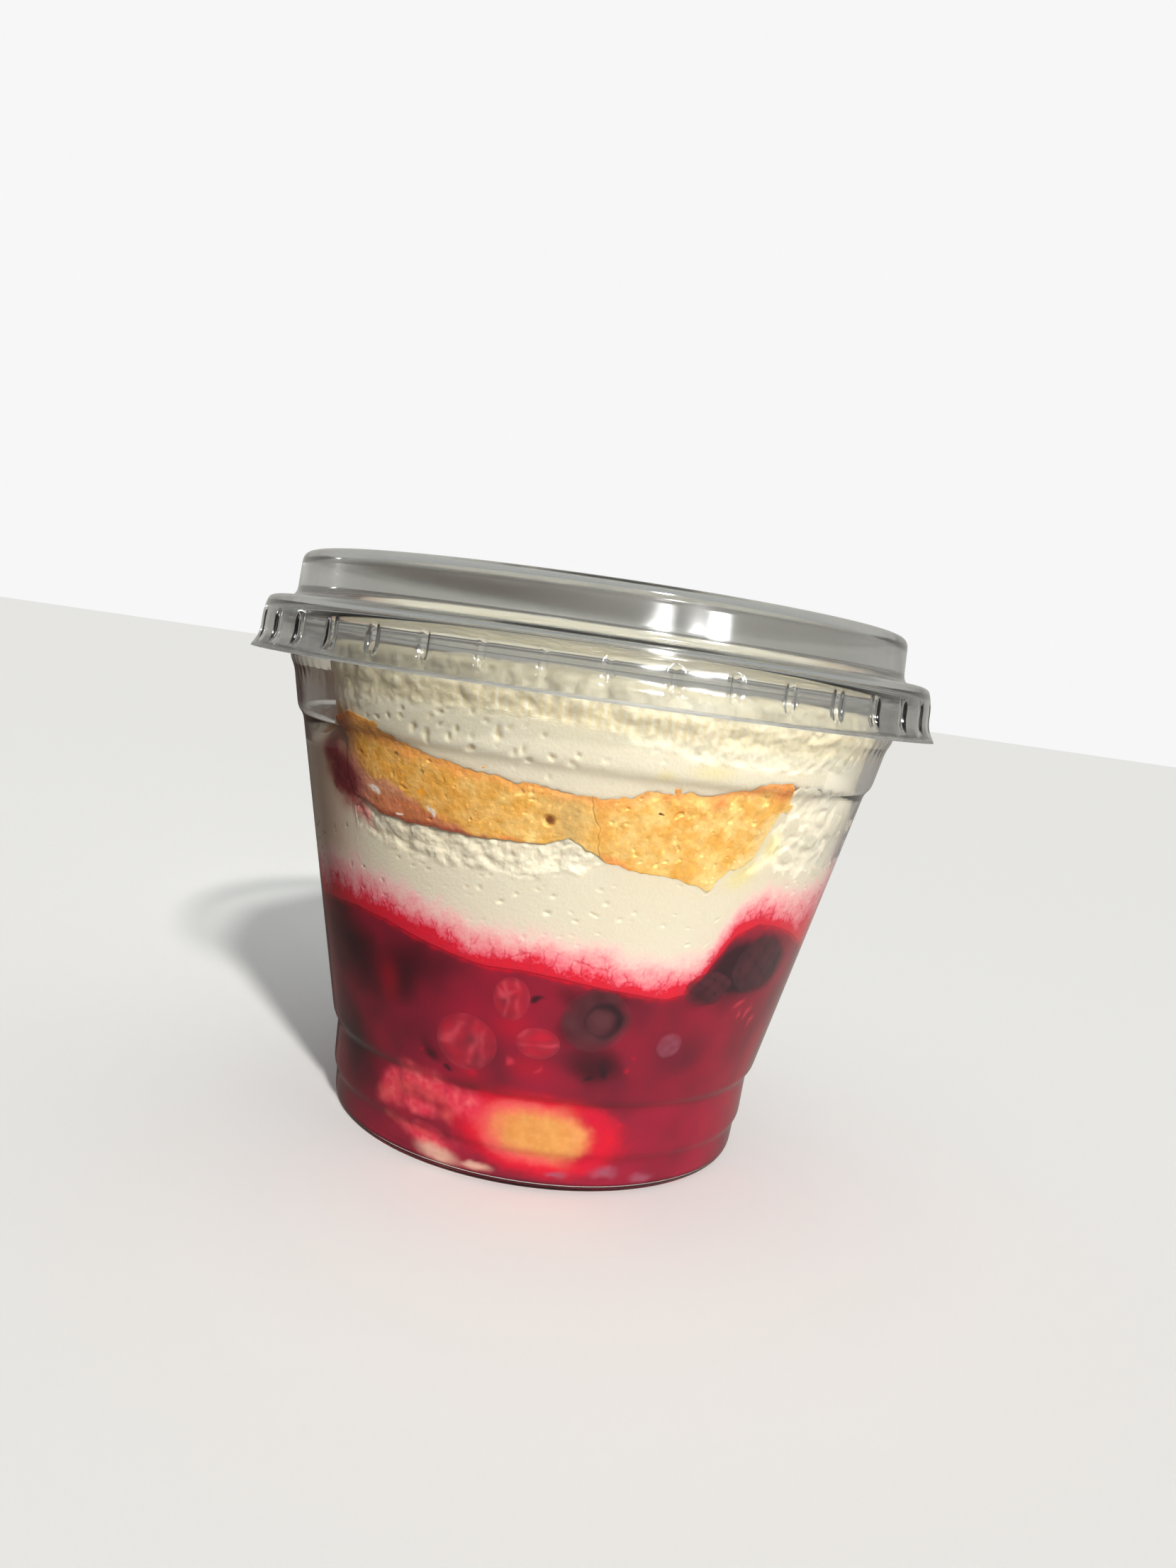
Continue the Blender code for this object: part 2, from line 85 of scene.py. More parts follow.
def in_scene(name, data):
    """A new object of that data, in the scene."""
    thing = bpy.data.objects.new(name, data)
    bpy.context.scene.collection.objects.link(thing)
    return thing


def make_camera():
    """The camera, its axes the rows of roll @ pitch @ yaw @ level, as a photograph's camera is measured."""
    level = Matrix(((1, 0, 0), (0, 0, -1), (0, 1, 0)))
    turn = Matrix.Rotation(CAMERA_ROLL, 3, "Z") @ Matrix.Rotation(CAMERA_PITCH, 3, "X")
    rows = turn @ Matrix.Rotation(CAMERA_YAW, 3, "Y") @ level
    data = bpy.data.cameras.new("camera")
    data.sensor_width = SENSOR_WIDE
    data.lens = CAMERA_LENS
    data.clip_start = NEAREST_SEEN
    camera = in_scene("camera", data)
    axes = Matrix((rows[0], -rows[1], -rows[2])).transposed()
    camera.matrix_world = Matrix.Translation(CAMERA_PLACE) @ axes.to_4x4()
    bpy.context.scene.camera = camera


def put(tree, value, socket):
    """Feeds a socket from another one, or sets its value."""
    if isinstance(value, bpy.types.NodeSocket):
        tree.links.new(value, socket)
    else:
        socket.default_value = value


def add(tree, kind, inputs=(), output=0, **settings):
    """A new node as one of its outputs; each input, in order or by name, is a socket or a value."""
    node = tree.nodes.new("ShaderNode" + kind)
    for key, value in settings.items():
        setattr(node, key, value)
    for key, value in inputs.items() if isinstance(inputs, dict) else enumerate(inputs):
        put(tree, value, node.inputs[key])
    return node.outputs[output]


def maths(tree, operation, *values):
    """A sum on sockets or numbers, as a socket."""
    return add(tree, "Math", values, operation=operation)


def eased_range(tree, value, low, high, start=0.0, end=1.0):
    """The value's way from low to high, eased, as a socket that runs from start to end."""
    ends = {"From Min": low, "From Max": high, "To Min": start, "To Max": end}
    return add(tree, "MapRange", {"Value": value, **ends}, interpolation_type="SMOOTHSTEP")


def mixed(tree, factor, first, second):
    """first moved to second by the factor, each a socket or a colour."""
    return add(tree, "Mix", {"Factor": factor, "A": first, "B": second}, "Result", data_type="RGBA")


def object_coords(tree):
    """The point's place on the object, as a socket."""
    return add(tree, "TexCoord", output="Object")


def split(tree, vector):
    """A vector's three parts, as sockets."""
    return add(tree, "SeparateXYZ", [vector]).node.outputs


def shader_of(material):
    """A material's node tree and its shader's inputs."""
    return material.node_tree, material.node_tree.nodes["Principled BSDF"].inputs


def new_material(name, values):
    """A material with its shader's values, and its node tree and its shader's inputs."""
    material = bpy.data.materials.new(name)
    material.use_nodes = True
    tree, shader = shader_of(material)
    for key, value in values.items():
        shader[key].default_value = value
    return material, tree, shader


def make_floor():
    """A wide flat floor, pale to the eye and, close by, through the foot; its bounce brightens rightwards."""
    mesh = bpy.data.meshes.new("studio_floor")
    corners = [(x * FLOOR_HALF, y * FLOOR_HALF, 0.0) for x, y in ((-1, -1), (1, -1), (1, 1), (-1, 1))]
    mesh.from_pydata(corners, [], [(0, 1, 2, 3)])
    material, tree, shader = new_material("studio_floor", {"Roughness": 0.8, "Specular IOR Level": 0.2})
    coords = object_coords(tree)
    bounce = mixed(tree, eased_range(tree, split(tree, coords)["X"], *FLOOR_CHANGE), FLOOR_DIM, FLOOR_LIT)
    away = add(tree, "VectorMath", [coords], "Value", operation="LENGTH")
    path = add(tree, "LightPath").node.outputs
    through = maths(tree, "MULTIPLY", maths(tree, "LESS_THAN", away, FLOOR_NEAR), path["Is Transmission Ray"])
    seen = maths(tree, "MAXIMUM", through, path["Is Camera Ray"])
    put(tree, mixed(tree, seen, bounce, FLOOR_COLOUR), shader["Base Color"])
    mesh.materials.append(material)
    in_scene("studio_floor", mesh)


def make_lamps():
    """The key lamp, its light parallel as from far away, and small ones that glint in the lid, as a list."""
    data = bpy.data.lights.new("key", "SUN")
    data.energy = KEY_STRENGTH
    data.color = KEY_COLOUR
    data.angle = np.radians(KEY_ANGLE)
    towards = direction(KEY_AZIMUTH, KEY_HEIGHT)
    in_scene("key", data).rotation_euler = towards.to_track_quat("Z", "Y").to_euler()
    glares = []
    for azimuth, power in GLARES:
        data = bpy.data.lights.new("glare", "AREA")
        data.shape = "ELLIPSE"
        data.size, data.size_y = GLARE_SIZE
        data.energy = power
        glare = in_scene("glare", data)
        towards = direction(azimuth, GLARE_HEIGHT)
        glare.location = GLARE_AIM + towards * GLARE_AWAY
        glare.rotation_euler = towards.to_track_quat("Z", "Y").to_euler()
        glares.append(glare)
    return glares


def make_surroundings():
    """The world: left to right by the direction's x, then to the grey behind by y and the pale above by z."""
    world = bpy.data.worlds.new("studio")
    bpy.context.scene.world = world
    world.use_nodes = True
    tree = world.node_tree
    parts = split(tree, add(tree, "TexCoord", output="Generated"))
    colour = ROUND_LEFT
    for axis, low, high, other in ROUND_CHANGES:
        colour = mixed(tree, eased_range(tree, parts[axis], low, high), colour, other)
    seen = add(tree, "LightPath", output="Is Camera Ray")
    put(tree, mixed(tree, seen, colour, BACKDROP), tree.nodes["Background"].inputs["Color"])
    bpy.context.scene.view_settings.view_transform = "Standard"


make_camera()
make_floor()
glares = make_lamps()
make_surroundings()


# The cup: a shell thermoformed from clear sheet, with a raised floor in a foot ring, a low band, a tapered
# wall, a shoulder with fine upright flutes under the lid, and a rolled rim.
CUP_WALL = 0.7
CUP_FLOOR_Z = 1.5
FLOOR_EDGE_R = 24.5
FOOT_INNER_R = 25.8
FOOT_OUTER_R = 28.2
CUP_OUTSIDE = [
    (28.9, 0.4), (29.3, 1.2), (29.5, 4.7), (30, 5.6), (30.2, 12), (31, 12.9), (40.1, 54), (40.9, 54.9),
    (42, 60.2), (42.7, 61.5), (42.9, 65.6)
]
CUP_ROUND = 0.8
RIM_R = 44.2
RIM_Z = 67.2
RIM_TUBE = 1.35
FLUTES = 120
FLUTE_STEPS = 4
FLUTE_RANGE_Z = (58.9, 62.3)
FLUTE_SIDES = (0.6, 57.0, 63.5)
FLUTE_DEPTH = 0.015
RIBS = 240.0
RIBS_RISE = (0.0584, 0.0596)
RIBS_FALL = (0.0614, 0.0626)
# Painted shade: the stripes that the flutes make on the filling behind them, as a tint of the sheet.
RIB_SHADE_TINT = (0.94, 0.895, 0.77, 1.0)
CLEAR_CUP = (0.985, 0.985, 0.98, 1.0)
CLEAR_IOR = 1.5
LET_THROUGH = 0.96
SHEET_WAVES = 90.0


def curve(t, first, middle, last):
    """(1-t)^2 first + 2t(1-t) middle + t^2 last."""
    return (1 - t) ** 2 * first + 2 * t * (1 - t) * middle + t ** 2 * last


def eased(corners, reach, steps=4):
    """An outline with each inner corner swapped for a curve between its two sides, which it meets `reach`
    away from the corner but never past their middles."""
    points = np.asarray(corners, float)
    here = points[1:-1]
    sides = points[:-2] - here, points[2:] - here
    start, end = (here + side * np.minimum(reach / np.linalg.norm(side, axis=1, keepdims=True), 0.45)
                  for side in sides)
    t = np.linspace(0.0, 1.0, steps)[None, :, None]
    curves = curve(t, start[:, None], here[:, None], end[:, None])
    return np.vstack([points[:1], curves.reshape(-1, 2), points[-1:]])


def stepped(outline, longest, low, high):
    """The outline with its long sides between two heights cut into equal steps no longer than `longest`."""
    sides = np.diff(outline, axis=0)
    middles = (outline[:-1, 1] + outline[1:, 1]) / 2
    counts = np.ceil(np.linalg.norm(sides, axis=1) / longest).astype(int)
    counts = np.where((middles > low) & (middles < high), counts, 1).clip(1)
    side = np.repeat(np.arange(len(sides)), counts)
    share = (np.arange(len(side)) - np.repeat(np.cumsum(counts) - counts, counts)) / counts[side]
    return np.vstack([outline[side] + sides[side] * share[:, None], outline[-1:]])


def skin(name, rings, material, node, slot, **values):
    """A closed skin through rings of points (ring, step, xyz), its first and last ring drawn to poles.

    Each ring's steps go round the way in which the rings follow one another, by the right hand, so that the
    faces look outwards. Values are kept on the points: a number or a colour for each step of each ring.
    """
    count, around = rings.shape[:2]
    step = np.arange(around)
    following = (step + 1) % around
    first = np.arange(count - 3)[:, None] * around + 1
    quads = np.stack([first + step, first + following, first + around + following, first + around + step], -1)
    last_ring = 1 + (count - 3) * around
    start_cap = np.stack([0 * step, 1 + following, 1 + step], -1)
    end_cap = np.stack([0 * step + last_ring + around, last_ring + step, last_ring + following], -1)

    def flat(array):
        return np.concatenate([array[:1].mean(axis=1), array[1:-1].reshape(-1, *array.shape[2:]),
                               array[-1:].mean(axis=1)])

    mesh = bpy.data.meshes.new(name)
    faces = quads.reshape(-1, 4).tolist() + start_cap.tolist() + end_cap.tolist()
    mesh.from_pydata((flat(rings) * MM).tolist(), [], faces)
    for key, value in values.items():
        value = flat(np.broadcast_to(value, (count, around, *np.shape(value)[2:])))
        if value.ndim == 1:
            mesh.attributes.new(key, "FLOAT", "POINT").data.foreach_set("value", value)
        else:
            colours = np.concatenate([value, np.ones((len(value), 1))], axis=1)
            mesh.attributes.new(key, "FLOAT_COLOR", "POINT").data.foreach_set("color", colours.ravel())
    mesh.shade_smooth()
    mesh.materials.append(material)
    piece = in_scene(name, mesh)
    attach(piece, "root")
    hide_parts(node)
    return piece


def place(azimuth, radius, height):
    """Points at an azimuth from the shown side, a distance from the axis and a height."""
    angle = np.radians(azimuth)
    return np.stack(np.broadcast_arrays(radius * np.sin(angle), -radius * np.cos(angle), height), axis=-1)


def ease(value, low, high):
    """0 below `low`, 1 above `high`, 3t^2 - 2t^3 between."""
    t = np.clip((value - low) / (high - low), 0.0, 1.0)
    return t * t * (3 - 2 * t)


def all_round(count):
    """That many azimuths, evenly all the way round."""
    return np.arange(count) * 360.0 / count


def noise(tree, coords, scale, detail=2.0, output="Fac"):
    """Smooth noise over the object, as a socket."""
    return add(tree, "TexNoise", {"Vector": coords, "Scale": scale, "Detail": detail}, output)


def clear_material(name, tint, roughness, bump):
    """Clear sheet plastic that lets a share of a lamp's light through, slightly uneven as such sheet is."""
    values = {"Base Color": tint, "Roughness": roughness, "IOR": CLEAR_IOR, "Transmission Weight": 1.0}
    material, tree, shader = new_material(name, values)
    waves = noise(tree, object_coords(tree), SHEET_WAVES)
    put(tree, add(tree, "Bump", {"Strength": bump, "Distance": MM, "Height": waves}), shader["Normal"])
    clear = add(tree, "BsdfTransparent", [(*[LET_THROUGH * part for part in tint[:3]], 1.0)])
    shadow = add(tree, "LightPath", output="Is Shadow Ray")
    either = add(tree, "MixShader", [shadow, tree.nodes["Principled BSDF"].outputs["BSDF"], clear])
    put(tree, either, tree.nodes["Material Output"].inputs["Surface"])
    return material


def rib_shaded(material):
    """Paints shade on the sheet between the flutes in upright lines, cos(RIBS * azimuth), faded above and
    below.
    """
    tree, shader = shader_of(material)
    x, y, z = split(tree, object_coords(tree))
    turn = maths(tree, "MULTIPLY", maths(tree, "ARCTAN2", x, y), RIBS)
    wave = eased_range(tree, maths(tree, "COSINE", turn), -1.0, 1.0)
    rising, falling = eased_range(tree, z, *RIBS_RISE), eased_range(tree, z, *RIBS_FALL, 1.0, 0.0)
    share = maths(tree, "MULTIPLY", wave, maths(tree, "MULTIPLY", rising, falling))
    clear = tuple(shader["Base Color"].default_value)
    put(tree, mixed(tree, share, clear, RIB_SHADE_TINT), shader["Base Color"])
    return material


def cup_inside():
    """The inside of the shell, from the middle of its floor up to the shoulder."""
    points = [(0.0, CUP_FLOOR_Z + CUP_WALL), (FLOOR_EDGE_R, CUP_FLOOR_Z + CUP_WALL), (FOOT_INNER_R, CUP_WALL)]
    points += [(FOOT_OUTER_R - CUP_WALL / 2, CUP_WALL), (CUP_OUTSIDE[1][0] - CUP_WALL, CUP_OUTSIDE[1][1])]
    return eased(points + [(radius - CUP_WALL, height) for radius, height in CUP_OUTSIDE[2:]], CUP_ROUND)


def cup_outline():
    """The whole shell's outline: floor, foot, outside, rolled rim, inside and floor again."""
    outside = [(0.0, CUP_FLOOR_Z), (FLOOR_EDGE_R, CUP_FLOOR_Z), (FOOT_INNER_R, 0.0), (FOOT_OUTER_R, 0.0)]
    outside = eased(outside + CUP_OUTSIDE, CUP_ROUND)
    angle = np.radians(np.linspace(-130.0, 160.0, 16))
    rim = np.stack([RIM_R + RIM_TUBE * np.cos(angle), RIM_Z + RIM_TUBE * np.sin(angle)], axis=1)
    return stepped(np.vstack([outside, rim, cup_inside()[::-1]]), *FLUTE_SIDES)


def cup_rings():
    """The outline turned about the axis, each flute pushed in by depth * (1 + cos(flutes * azimuth)) / 2."""
    outline = cup_outline()
    azimuth = all_round(FLUTES * FLUTE_STEPS)
    low, high = FLUTE_RANGE_Z
    band = np.clip(np.minimum(outline[:, 1] - low, high - outline[:, 1]) / 0.6, 0.0, 1.0)
    flute = FLUTE_DEPTH * band[:, None] * (1 + np.cos(np.radians(azimuth * FLUTES))) / 2
    return place(azimuth, outline[:, :1] - np.where(outline[:, :1] > 1.0, flute, 0.0), outline[:, 1:])


INSIDE = cup_inside()
WALL = INSIDE[np.maximum.accumulate(INSIDE[:, 1]) == INSIDE[:, 1]]
WALL = WALL[WALL[:, 0] > FOOT_OUTER_R - CUP_WALL]
FLOOR = INSIDE[INSIDE[:, 0] < FOOT_OUTER_R - CUP_WALL / 4]


def wall(height):
    """The radius of the cup's inside at a height."""
    return np.interp(height, WALL[:, 1], WALL[:, 0])


cup_material = rib_shaded(clear_material("cup_clear", CLEAR_CUP, 0.04, 0.04))
skin("clear_cup", cup_rings(), cup_material, "cup", "cup_clear")


# The lid: a thermoformed cap with a flat dome, a rounded channel that grips the cup's rim, and a flared skirt
# with short upright notches, thinner and a little smokier than the cup.
LID_WALL = 0.6
LID_TOP_Z = 75.76
DOME_R = 42.5
DOME_FOOT_R = 42.8
DOME_ROUND = 1.5
CHANNEL_TOP_Z = 69.5
CHANNEL_FLAT_R = 45.5
SKIRT_OUTSIDE = [(46.3, 69.1), (46.6, 68.2), (46.9, 66.8), (46.95, 64.2), (48.0, 62.3)]
LID_NOTCHES = 42
NOTCH_STEPS = np.array([-0.5, -0.32, -0.16, -0.1, -0.075, -0.05, -0.025,
                        0, 0.025, 0.05, 0.075, 0.1, 0.16, 0.32])
NOTCH_RANGE_Z = (63.4, 67.3)
NOTCH_SIDES = (0.55, 62.5, 68.0)
NOTCH_SHARE = 0.20
NOTCH_DEPTH = 0.5
NOTCH_TURN = 1.8
HEM_WALL = 0.08
HEM_TALL = 0.3
HEM_ROUGH = 0.7
CLEAR_LID = (0.865, 0.875, 0.87, 1.0)


def lid_outline():
    """The cap's outline: from the top's middle out and down to the hem, and back along its underside."""
    dome = [(0.0, LID_TOP_Z), (DOME_R, LID_TOP_Z), (DOME_FOOT_R, CHANNEL_TOP_Z)]
    outside = eased(dome + [(CHANNEL_FLAT_R, CHANNEL_TOP_Z)] + SKIRT_OUTSIDE, DOME_ROUND, 7)
    hem_r, hem_z = SKIRT_OUTSIDE[-1]
    under = [(hem_r - HEM_WALL, hem_z), (hem_r - HEM_TALL / 2 - LID_WALL, hem_z + HEM_TALL)]
    under += [(radius - LID_WALL, height) for radius, height in SKIRT_OUTSIDE[-2:0:-1]]
    under += [(CHANNEL_FLAT_R - LID_WALL / 2, CHANNEL_TOP_Z - LID_WALL)]
    under += [(DOME_FOOT_R - LID_WALL, CHANNEL_TOP_Z - LID_WALL), (DOME_R - LID_WALL, LID_TOP_Z - LID_WALL)]
    under = eased(under + [(0.0, LID_TOP_Z - LID_WALL)], DOME_ROUND, 7)
    return stepped(np.vstack([outside, under]), *NOTCH_SIDES)[::-1]


def matt_hem(material):
    """Makes the lid's cut edge rough: its lowest few tenths of a millimetre."""
    tree, shader = shader_of(material)
    height = split(tree, object_coords(tree))["Z"]
    clear = shader["Roughness"].default_value
    hem = SKIRT_OUTSIDE[-1][1] * MM
    put(tree, eased_range(tree, height, hem, hem + 2 * HEM_TALL * MM, HEM_ROUGH, clear), shader["Roughness"])
    return material


def lid_rings():
    """The outline turned about the axis, with round-edged notches pushed into the skirt."""
    outline = lid_outline()
    azimuth = NOTCH_TURN + (np.arange(LID_NOTCHES)[:, None] + NOTCH_STEPS).ravel() * 360.0 / LID_NOTCHES
    across = ease(1 - np.tile(np.abs(NOTCH_STEPS), LID_NOTCHES) / (NOTCH_SHARE / 2), 0.0, 0.7)
    low, high = NOTCH_RANGE_Z
    along = ease(np.minimum(outline[:, 1] - low, high - outline[:, 1]), 0.0, 0.9)
    push = NOTCH_DEPTH * (along * (outline[:, 0] > CHANNEL_FLAT_R))[:, None] * across
    return place(azimuth, outline[:, :1] - push, outline[:, 1:])


lid_material = matt_hem(clear_material("lid_clear", CLEAR_LID, 0.09, 0.06))
lid = skin("clear_lid", lid_rings(), lid_material, "lid", "lid_clear")
shining = bpy.data.collections.new("shining")
shining.objects.link(lid)
for glare in glares:
    glare.light_linking.receiver_collection = shining


# The filling's layers meet at the wall along uneven lines. Each line is a height for every azimuth, from the
# few places where it turns, smoothed; the shown side's places come first, then those behind.
COMPOTE_LINE = [
    (-67, 31.4), (-48, 32.2), (-38, 31.9), (-29, 30.8), (-21, 29.9), (-14, 29.3), (-6, 29.6), (1.5, 29.3),
    (11, 28.6), (17, 28.2), (24.5, 27.6), (29, 28.4), (31.5, 30), (34, 33.2), (37, 36.1), (43, 37.7),
    (49, 37.2), (56, 36.1), (65, 34), (80, 31.6), (105, 30.5), (140, 32.2), (180, 30.4), (215, 29.3),
    (250, 31.4), (275, 31)
]
UPPER_SPONGE_LOW = [
    (-47, 46.4), (-43, 46.2), (-39, 44.9), (-31, 44.6), (-16, 44.6), (-6, 44.9), (-0.8, 46.3), (4, 44.8),
    (7, 43.8), (11, 43.3), (20, 42.8), (27.4, 41.5), (28.8, 43), (32.7, 44.8), (35.6, 46.7), (36.8, 50),
    (38, 52.2), (41, 52.9), (140, 53), (144, 46.5), (152, 42.9), (170, 43.5), (179, 45.5), (195, 44.4),
    (222, 45.6), (229, 47.5)
]
UPPER_SPONGE_HIGH = [
    (-60, 52.4), (-54, 53.6), (-50, 55), (-46, 55.9), (-41.5, 55.8), (-35, 55), (-27, 53.6), (-22, 52.8),
    (-11, 52.1), (4, 51.6), (8, 52.1), (11.5, 53.1), (21, 53.5), (28.6, 54.6), (33, 55.6), (38, 56.1),
    (41, 55.4), (90, 54.2), (140, 56), (165, 53.8), (180, 51.9), (200, 52.8), (229, 55), (245, 52.5),
    (270, 50.8)
]
LINE_SMOOTHING = 0.6
TURNS = np.arange(-180.0, 180.0, 0.25)
GRID_TURN = np.array(Euler((0.6, 0.4, 0.9)).to_matrix())
GRID = 32


def line(places):
    """A height for each azimuth through the given places, straight between them and then blurred."""
    raw = np.interp(TURNS, *zip(*sorted(((a + 180) % 360 - 180, z) for a, z in places)), period=360.0)
    kernel = np.exp(-(np.arange(-16, 17) * 0.25 / LINE_SMOOTHING) ** 2)
    blurred = np.convolve(np.concatenate([raw[-16:], raw, raw[:16]]), kernel / kernel.sum(), "valid")
    return lambda azimuth: np.interp(azimuth, TURNS, blurred, period=360.0)


def grid_place(points, size):
    """Where points lie in a turned grid with cells of that size: the cell and the place in it."""
    scaled = points @ GRID_TURN / size + 512.0
    whole = np.floor(scaled).astype(int)
    return whole, scaled - whole


def picked(table, cell):
    """What a table that repeats in every direction holds for each cell."""
    cell = cell % GRID
    return table[cell[..., 0], cell[..., 1], cell[..., 2]]


def grain(points, size, seed):
    """Gradient noise, about -1 to 1: random slopes at the corners of a turned grid's cells, eased between."""
    slopes = np.random.default_rng(seed).normal(size=(GRID, GRID, GRID, 3))
    slopes /= np.linalg.norm(slopes, axis=-1, keepdims=True)
    whole, part = grid_place(points, size)
    eased_part = part * part * (3 - 2 * part)
    total = 0.0
    for corner in np.ndindex(2, 2, 2):
        share = np.prod(np.where(corner, eased_part, 1 - eased_part), axis=-1)
        total = total + share * np.sum(picked(slopes, whole + corner) * (part - corner), axis=-1)
    return 1.7 * total


def domes(points, size, seed):
    """Rounded lumps: 1 - (distance to the nearest of a grid's shaken points / 0.9 of a cell)^2, or 0."""
    shaken = np.random.default_rng(seed).uniform(0.08, 0.92, (GRID, GRID, GRID, 3))
    whole, part = grid_place(points, size)
    nearest = np.full(part.shape[:-1], 9.0)
    for step in np.ndindex(3, 3, 3):
        gap = picked(shaken, whole + step - 1) + step - 1 - part
        nearest = np.minimum(nearest, np.sum(gap * gap, axis=-1))
    return (1 - nearest / 0.81).clip(0.0)


def tinted(tone, *tints):
    """Colours moved towards one after another: tone + (other - tone) * share, the share held from 0 to 1."""
    tone = np.asarray(tone, float)
    for other, share in tints:
        tone = tone + (np.asarray(other, float) - tone) * np.clip(share, 0.0, 1.0)[..., None]
    return tone


def azimuth_of(points):
    """The azimuth of points."""
    return np.degrees(np.arctan2(points[..., 0], -points[..., 1]))


def apart(azimuth, middle):
    """How many degrees lie between two azimuths, the short way round."""
    return np.abs((azimuth - middle + 180.0) % 360.0 - 180.0)


def spots(azimuth, height, places, edge=0.35):
    """How far each point lies inside any of the ellipses, 0 to 1: their azimuths, heights, half widths, half
    heights and, where they lean, tilts."""
    deepest = np.zeros(np.broadcast(azimuth, height).shape)
    for middle, level, wide, tall, *tilt in places:
        across = ((azimuth - middle + 180.0) % 360.0 - 180.0) * np.radians(wall(level))
        up = height - level
        turn = np.radians(sum(tilt))
        along = (across * np.cos(turn) + up * np.sin(turn)) / wide
        beside = (up * np.cos(turn) - across * np.sin(turn)) / tall
        deepest = np.maximum(deepest, ease(1 - np.hypot(along, beside), 0.0, edge))
    return deepest


def torn(even):
    """A line made uneven by noise, and most where the upper sponge thins out at the right."""
    round_about = place(TURNS, 40.0, 26.0)
    ragged = 1.6 * ease(TURNS, 26, 29) * (TURNS < 60)
    shift = (1 + ragged) * (0.26 * grain(round_about, 1.5, 20) + 0.13 * grain(round_about, 0.6, 21))
    heights = even(TURNS) + shift + 0.5 * ragged * grain(round_about, 3.2, 83)
    return lambda azimuth: np.interp(azimuth, TURNS, heights, period=360.0)


compote_line = line(COMPOTE_LINE)
sponge_high = line(UPPER_SPONGE_HIGH)
sponge_low = torn(line(UPPER_SPONGE_LOW))


# The cream: whipped cream and mascarpone, spooned in, so it has burst bubbles where it lies against the wall,
# small curds where it doesn't, and a lumpy top. The lower layer has drawn red juice up from the compote.
CREAM_REACH = 0.06
CREAM_COLOUR = (0.775, 0.747, 0.648)
CREAM_WARM = (0.77, 0.72, 0.575)
# Painted shade: the cream's colour in its hollows, in its pits and between its curds.
CREAM_HOLLOW_SHADE = (0.72, 0.635, 0.43)
CREAM_STAIN = (0.80, 0.72, 0.37)
# Painted shade, brown, for the heap's far left, away from the lamp.
CREAM_SHADE_BROWN = (0.50, 0.27, 0.13)
# Painted shade: cream that stands back from the wall, and the far left, away from the lamp.
CREAM_DUSK_SHADE = (0.70, 0.48, 0.38)
CREAM_SHADED = (0.38, 0.345, 0.265)
HEAP_EDGE_Z = 65.2
HEAP_MIDDLE_Z = 65.8
HEAP_UNDER_Z = 54.0
HEAP_RINGS = (5, 54, 52)
HEAP_INSETS = [(-97.0, 40.0, 6.5), (92.0, 34.0, 1.6)]
HEAP_CONTACT_TOP = [
    (-60, 55), (-46, 55.6), (-40, 57.4), (-32, 58.6), (-23, 59.2), (-6, 59.4), (2, 59), (10, 58),
    (20, 56.6), (40, 57), (60, 58), (100, 58), (140, 59.5), (180, 58.8), (220, 59.5), (260, 56.5)
]
HEAP_STAINS = [(21.7, 56, 4.5, 1.5, 5), (13.5, 55, 1.8, 1)]
HEAP_SHADE_BROWNS = [(-50.5, 55.6, 5.5, 2.4, -10), (-60, 53, 6, 3)]
BIG_PITS = [
    (-29.4, 56.1, 0.5, 1.05, -18), (-26.8, 55.4, 0.32, 1.25, -12), (-13.9, 57.1, 0.62, 1.2, -5),
    (-22.5, 55.7, 0.34, 0.62, -20), (-18.4, 54.9, 0.65, 0.42, 10), (-21.1, 56.7, 0.3, 0.7, -30),
    (-9.5, 55.5, 0.45, 0.72, 15), (-11.2, 55.2, 0.3, 0.55, -15), (-8.6, 54.6, 0.5, 0.36, 20),
    (-1.9, 55, 0.55, 0.4), (-4.8, 55.3, 0.35, 0.55, 20), (-0.6, 55.9, 0.3, 0.45, -20),
    (3.8, 55.7, 0.35, 0.28), (-18.6, 59, 0.36, 0.3), (-24.2, 58.4, 0.5, 0.26, 15),
    (-31.8, 58, 0.42, 0.26, 10), (-34.5, 56.9, 0.24, 0.48, -25), (-24.1, 57, 0.26, 0.55, -35),
    (-37.4, 56.4, 0.36, 0.24), (-6.5, 57.6, 0.26, 0.4), (-16, 58.2, 0.22, 0.4, 20)
]
LOW_PITS = [
    (-11.6, 37.3, 0.55, 0.28, 35), (-8.9, 38.5, 0.5, 0.26, 40), (-1.8, 39, 0.46, 0.26, -30),
    (8, 39, 0.3, 0.48, 10), (-2.6, 36.8, 0.4, 0.3), (6.1, 40.6, 0.36, 0.2, 20), (3, 36.3, 0.34, 0.24),
    (-4.9, 39.6, 0.3, 0.18), (5.7, 37.5, 0.26, 0.2), (-17.7, 37.4, 0.26, 0.18), (13.6, 38.2, 0.24, 0.34),
    (-14, 40.3, 0.22, 0.3, 30)
]
AROUND = 820
CURD_SCALE = 750.0
CURD_BUMP = 0.0006


def bubbles(count, heights, wide, tall, seed):
    """Places, sizes and tilts for burst bubbles, drawn at random within the given ranges."""
    draw = np.random.default_rng(seed)
    size = draw.uniform(0.0, 1.0, count) ** 2.2
    return list(zip(draw.uniform(-180, 180, count), draw.uniform(*heights, count),
                    wide[0] + (wide[1] - wide[0]) * size, tall[0] + (tall[1] - tall[0]) * size,
                    draw.uniform(-25.0, 25.0, count)))


def pits(azimuth, height, points, places):
    """Burst bubbles: spots with their outlines shaken by fine noise, so that none is a true ellipse."""
    shaken = azimuth + 0.45 * grain(points, 0.9, 70)
    return spots(shaken, height + 0.16 * grain(points, 0.7, 71), places, 0.75)


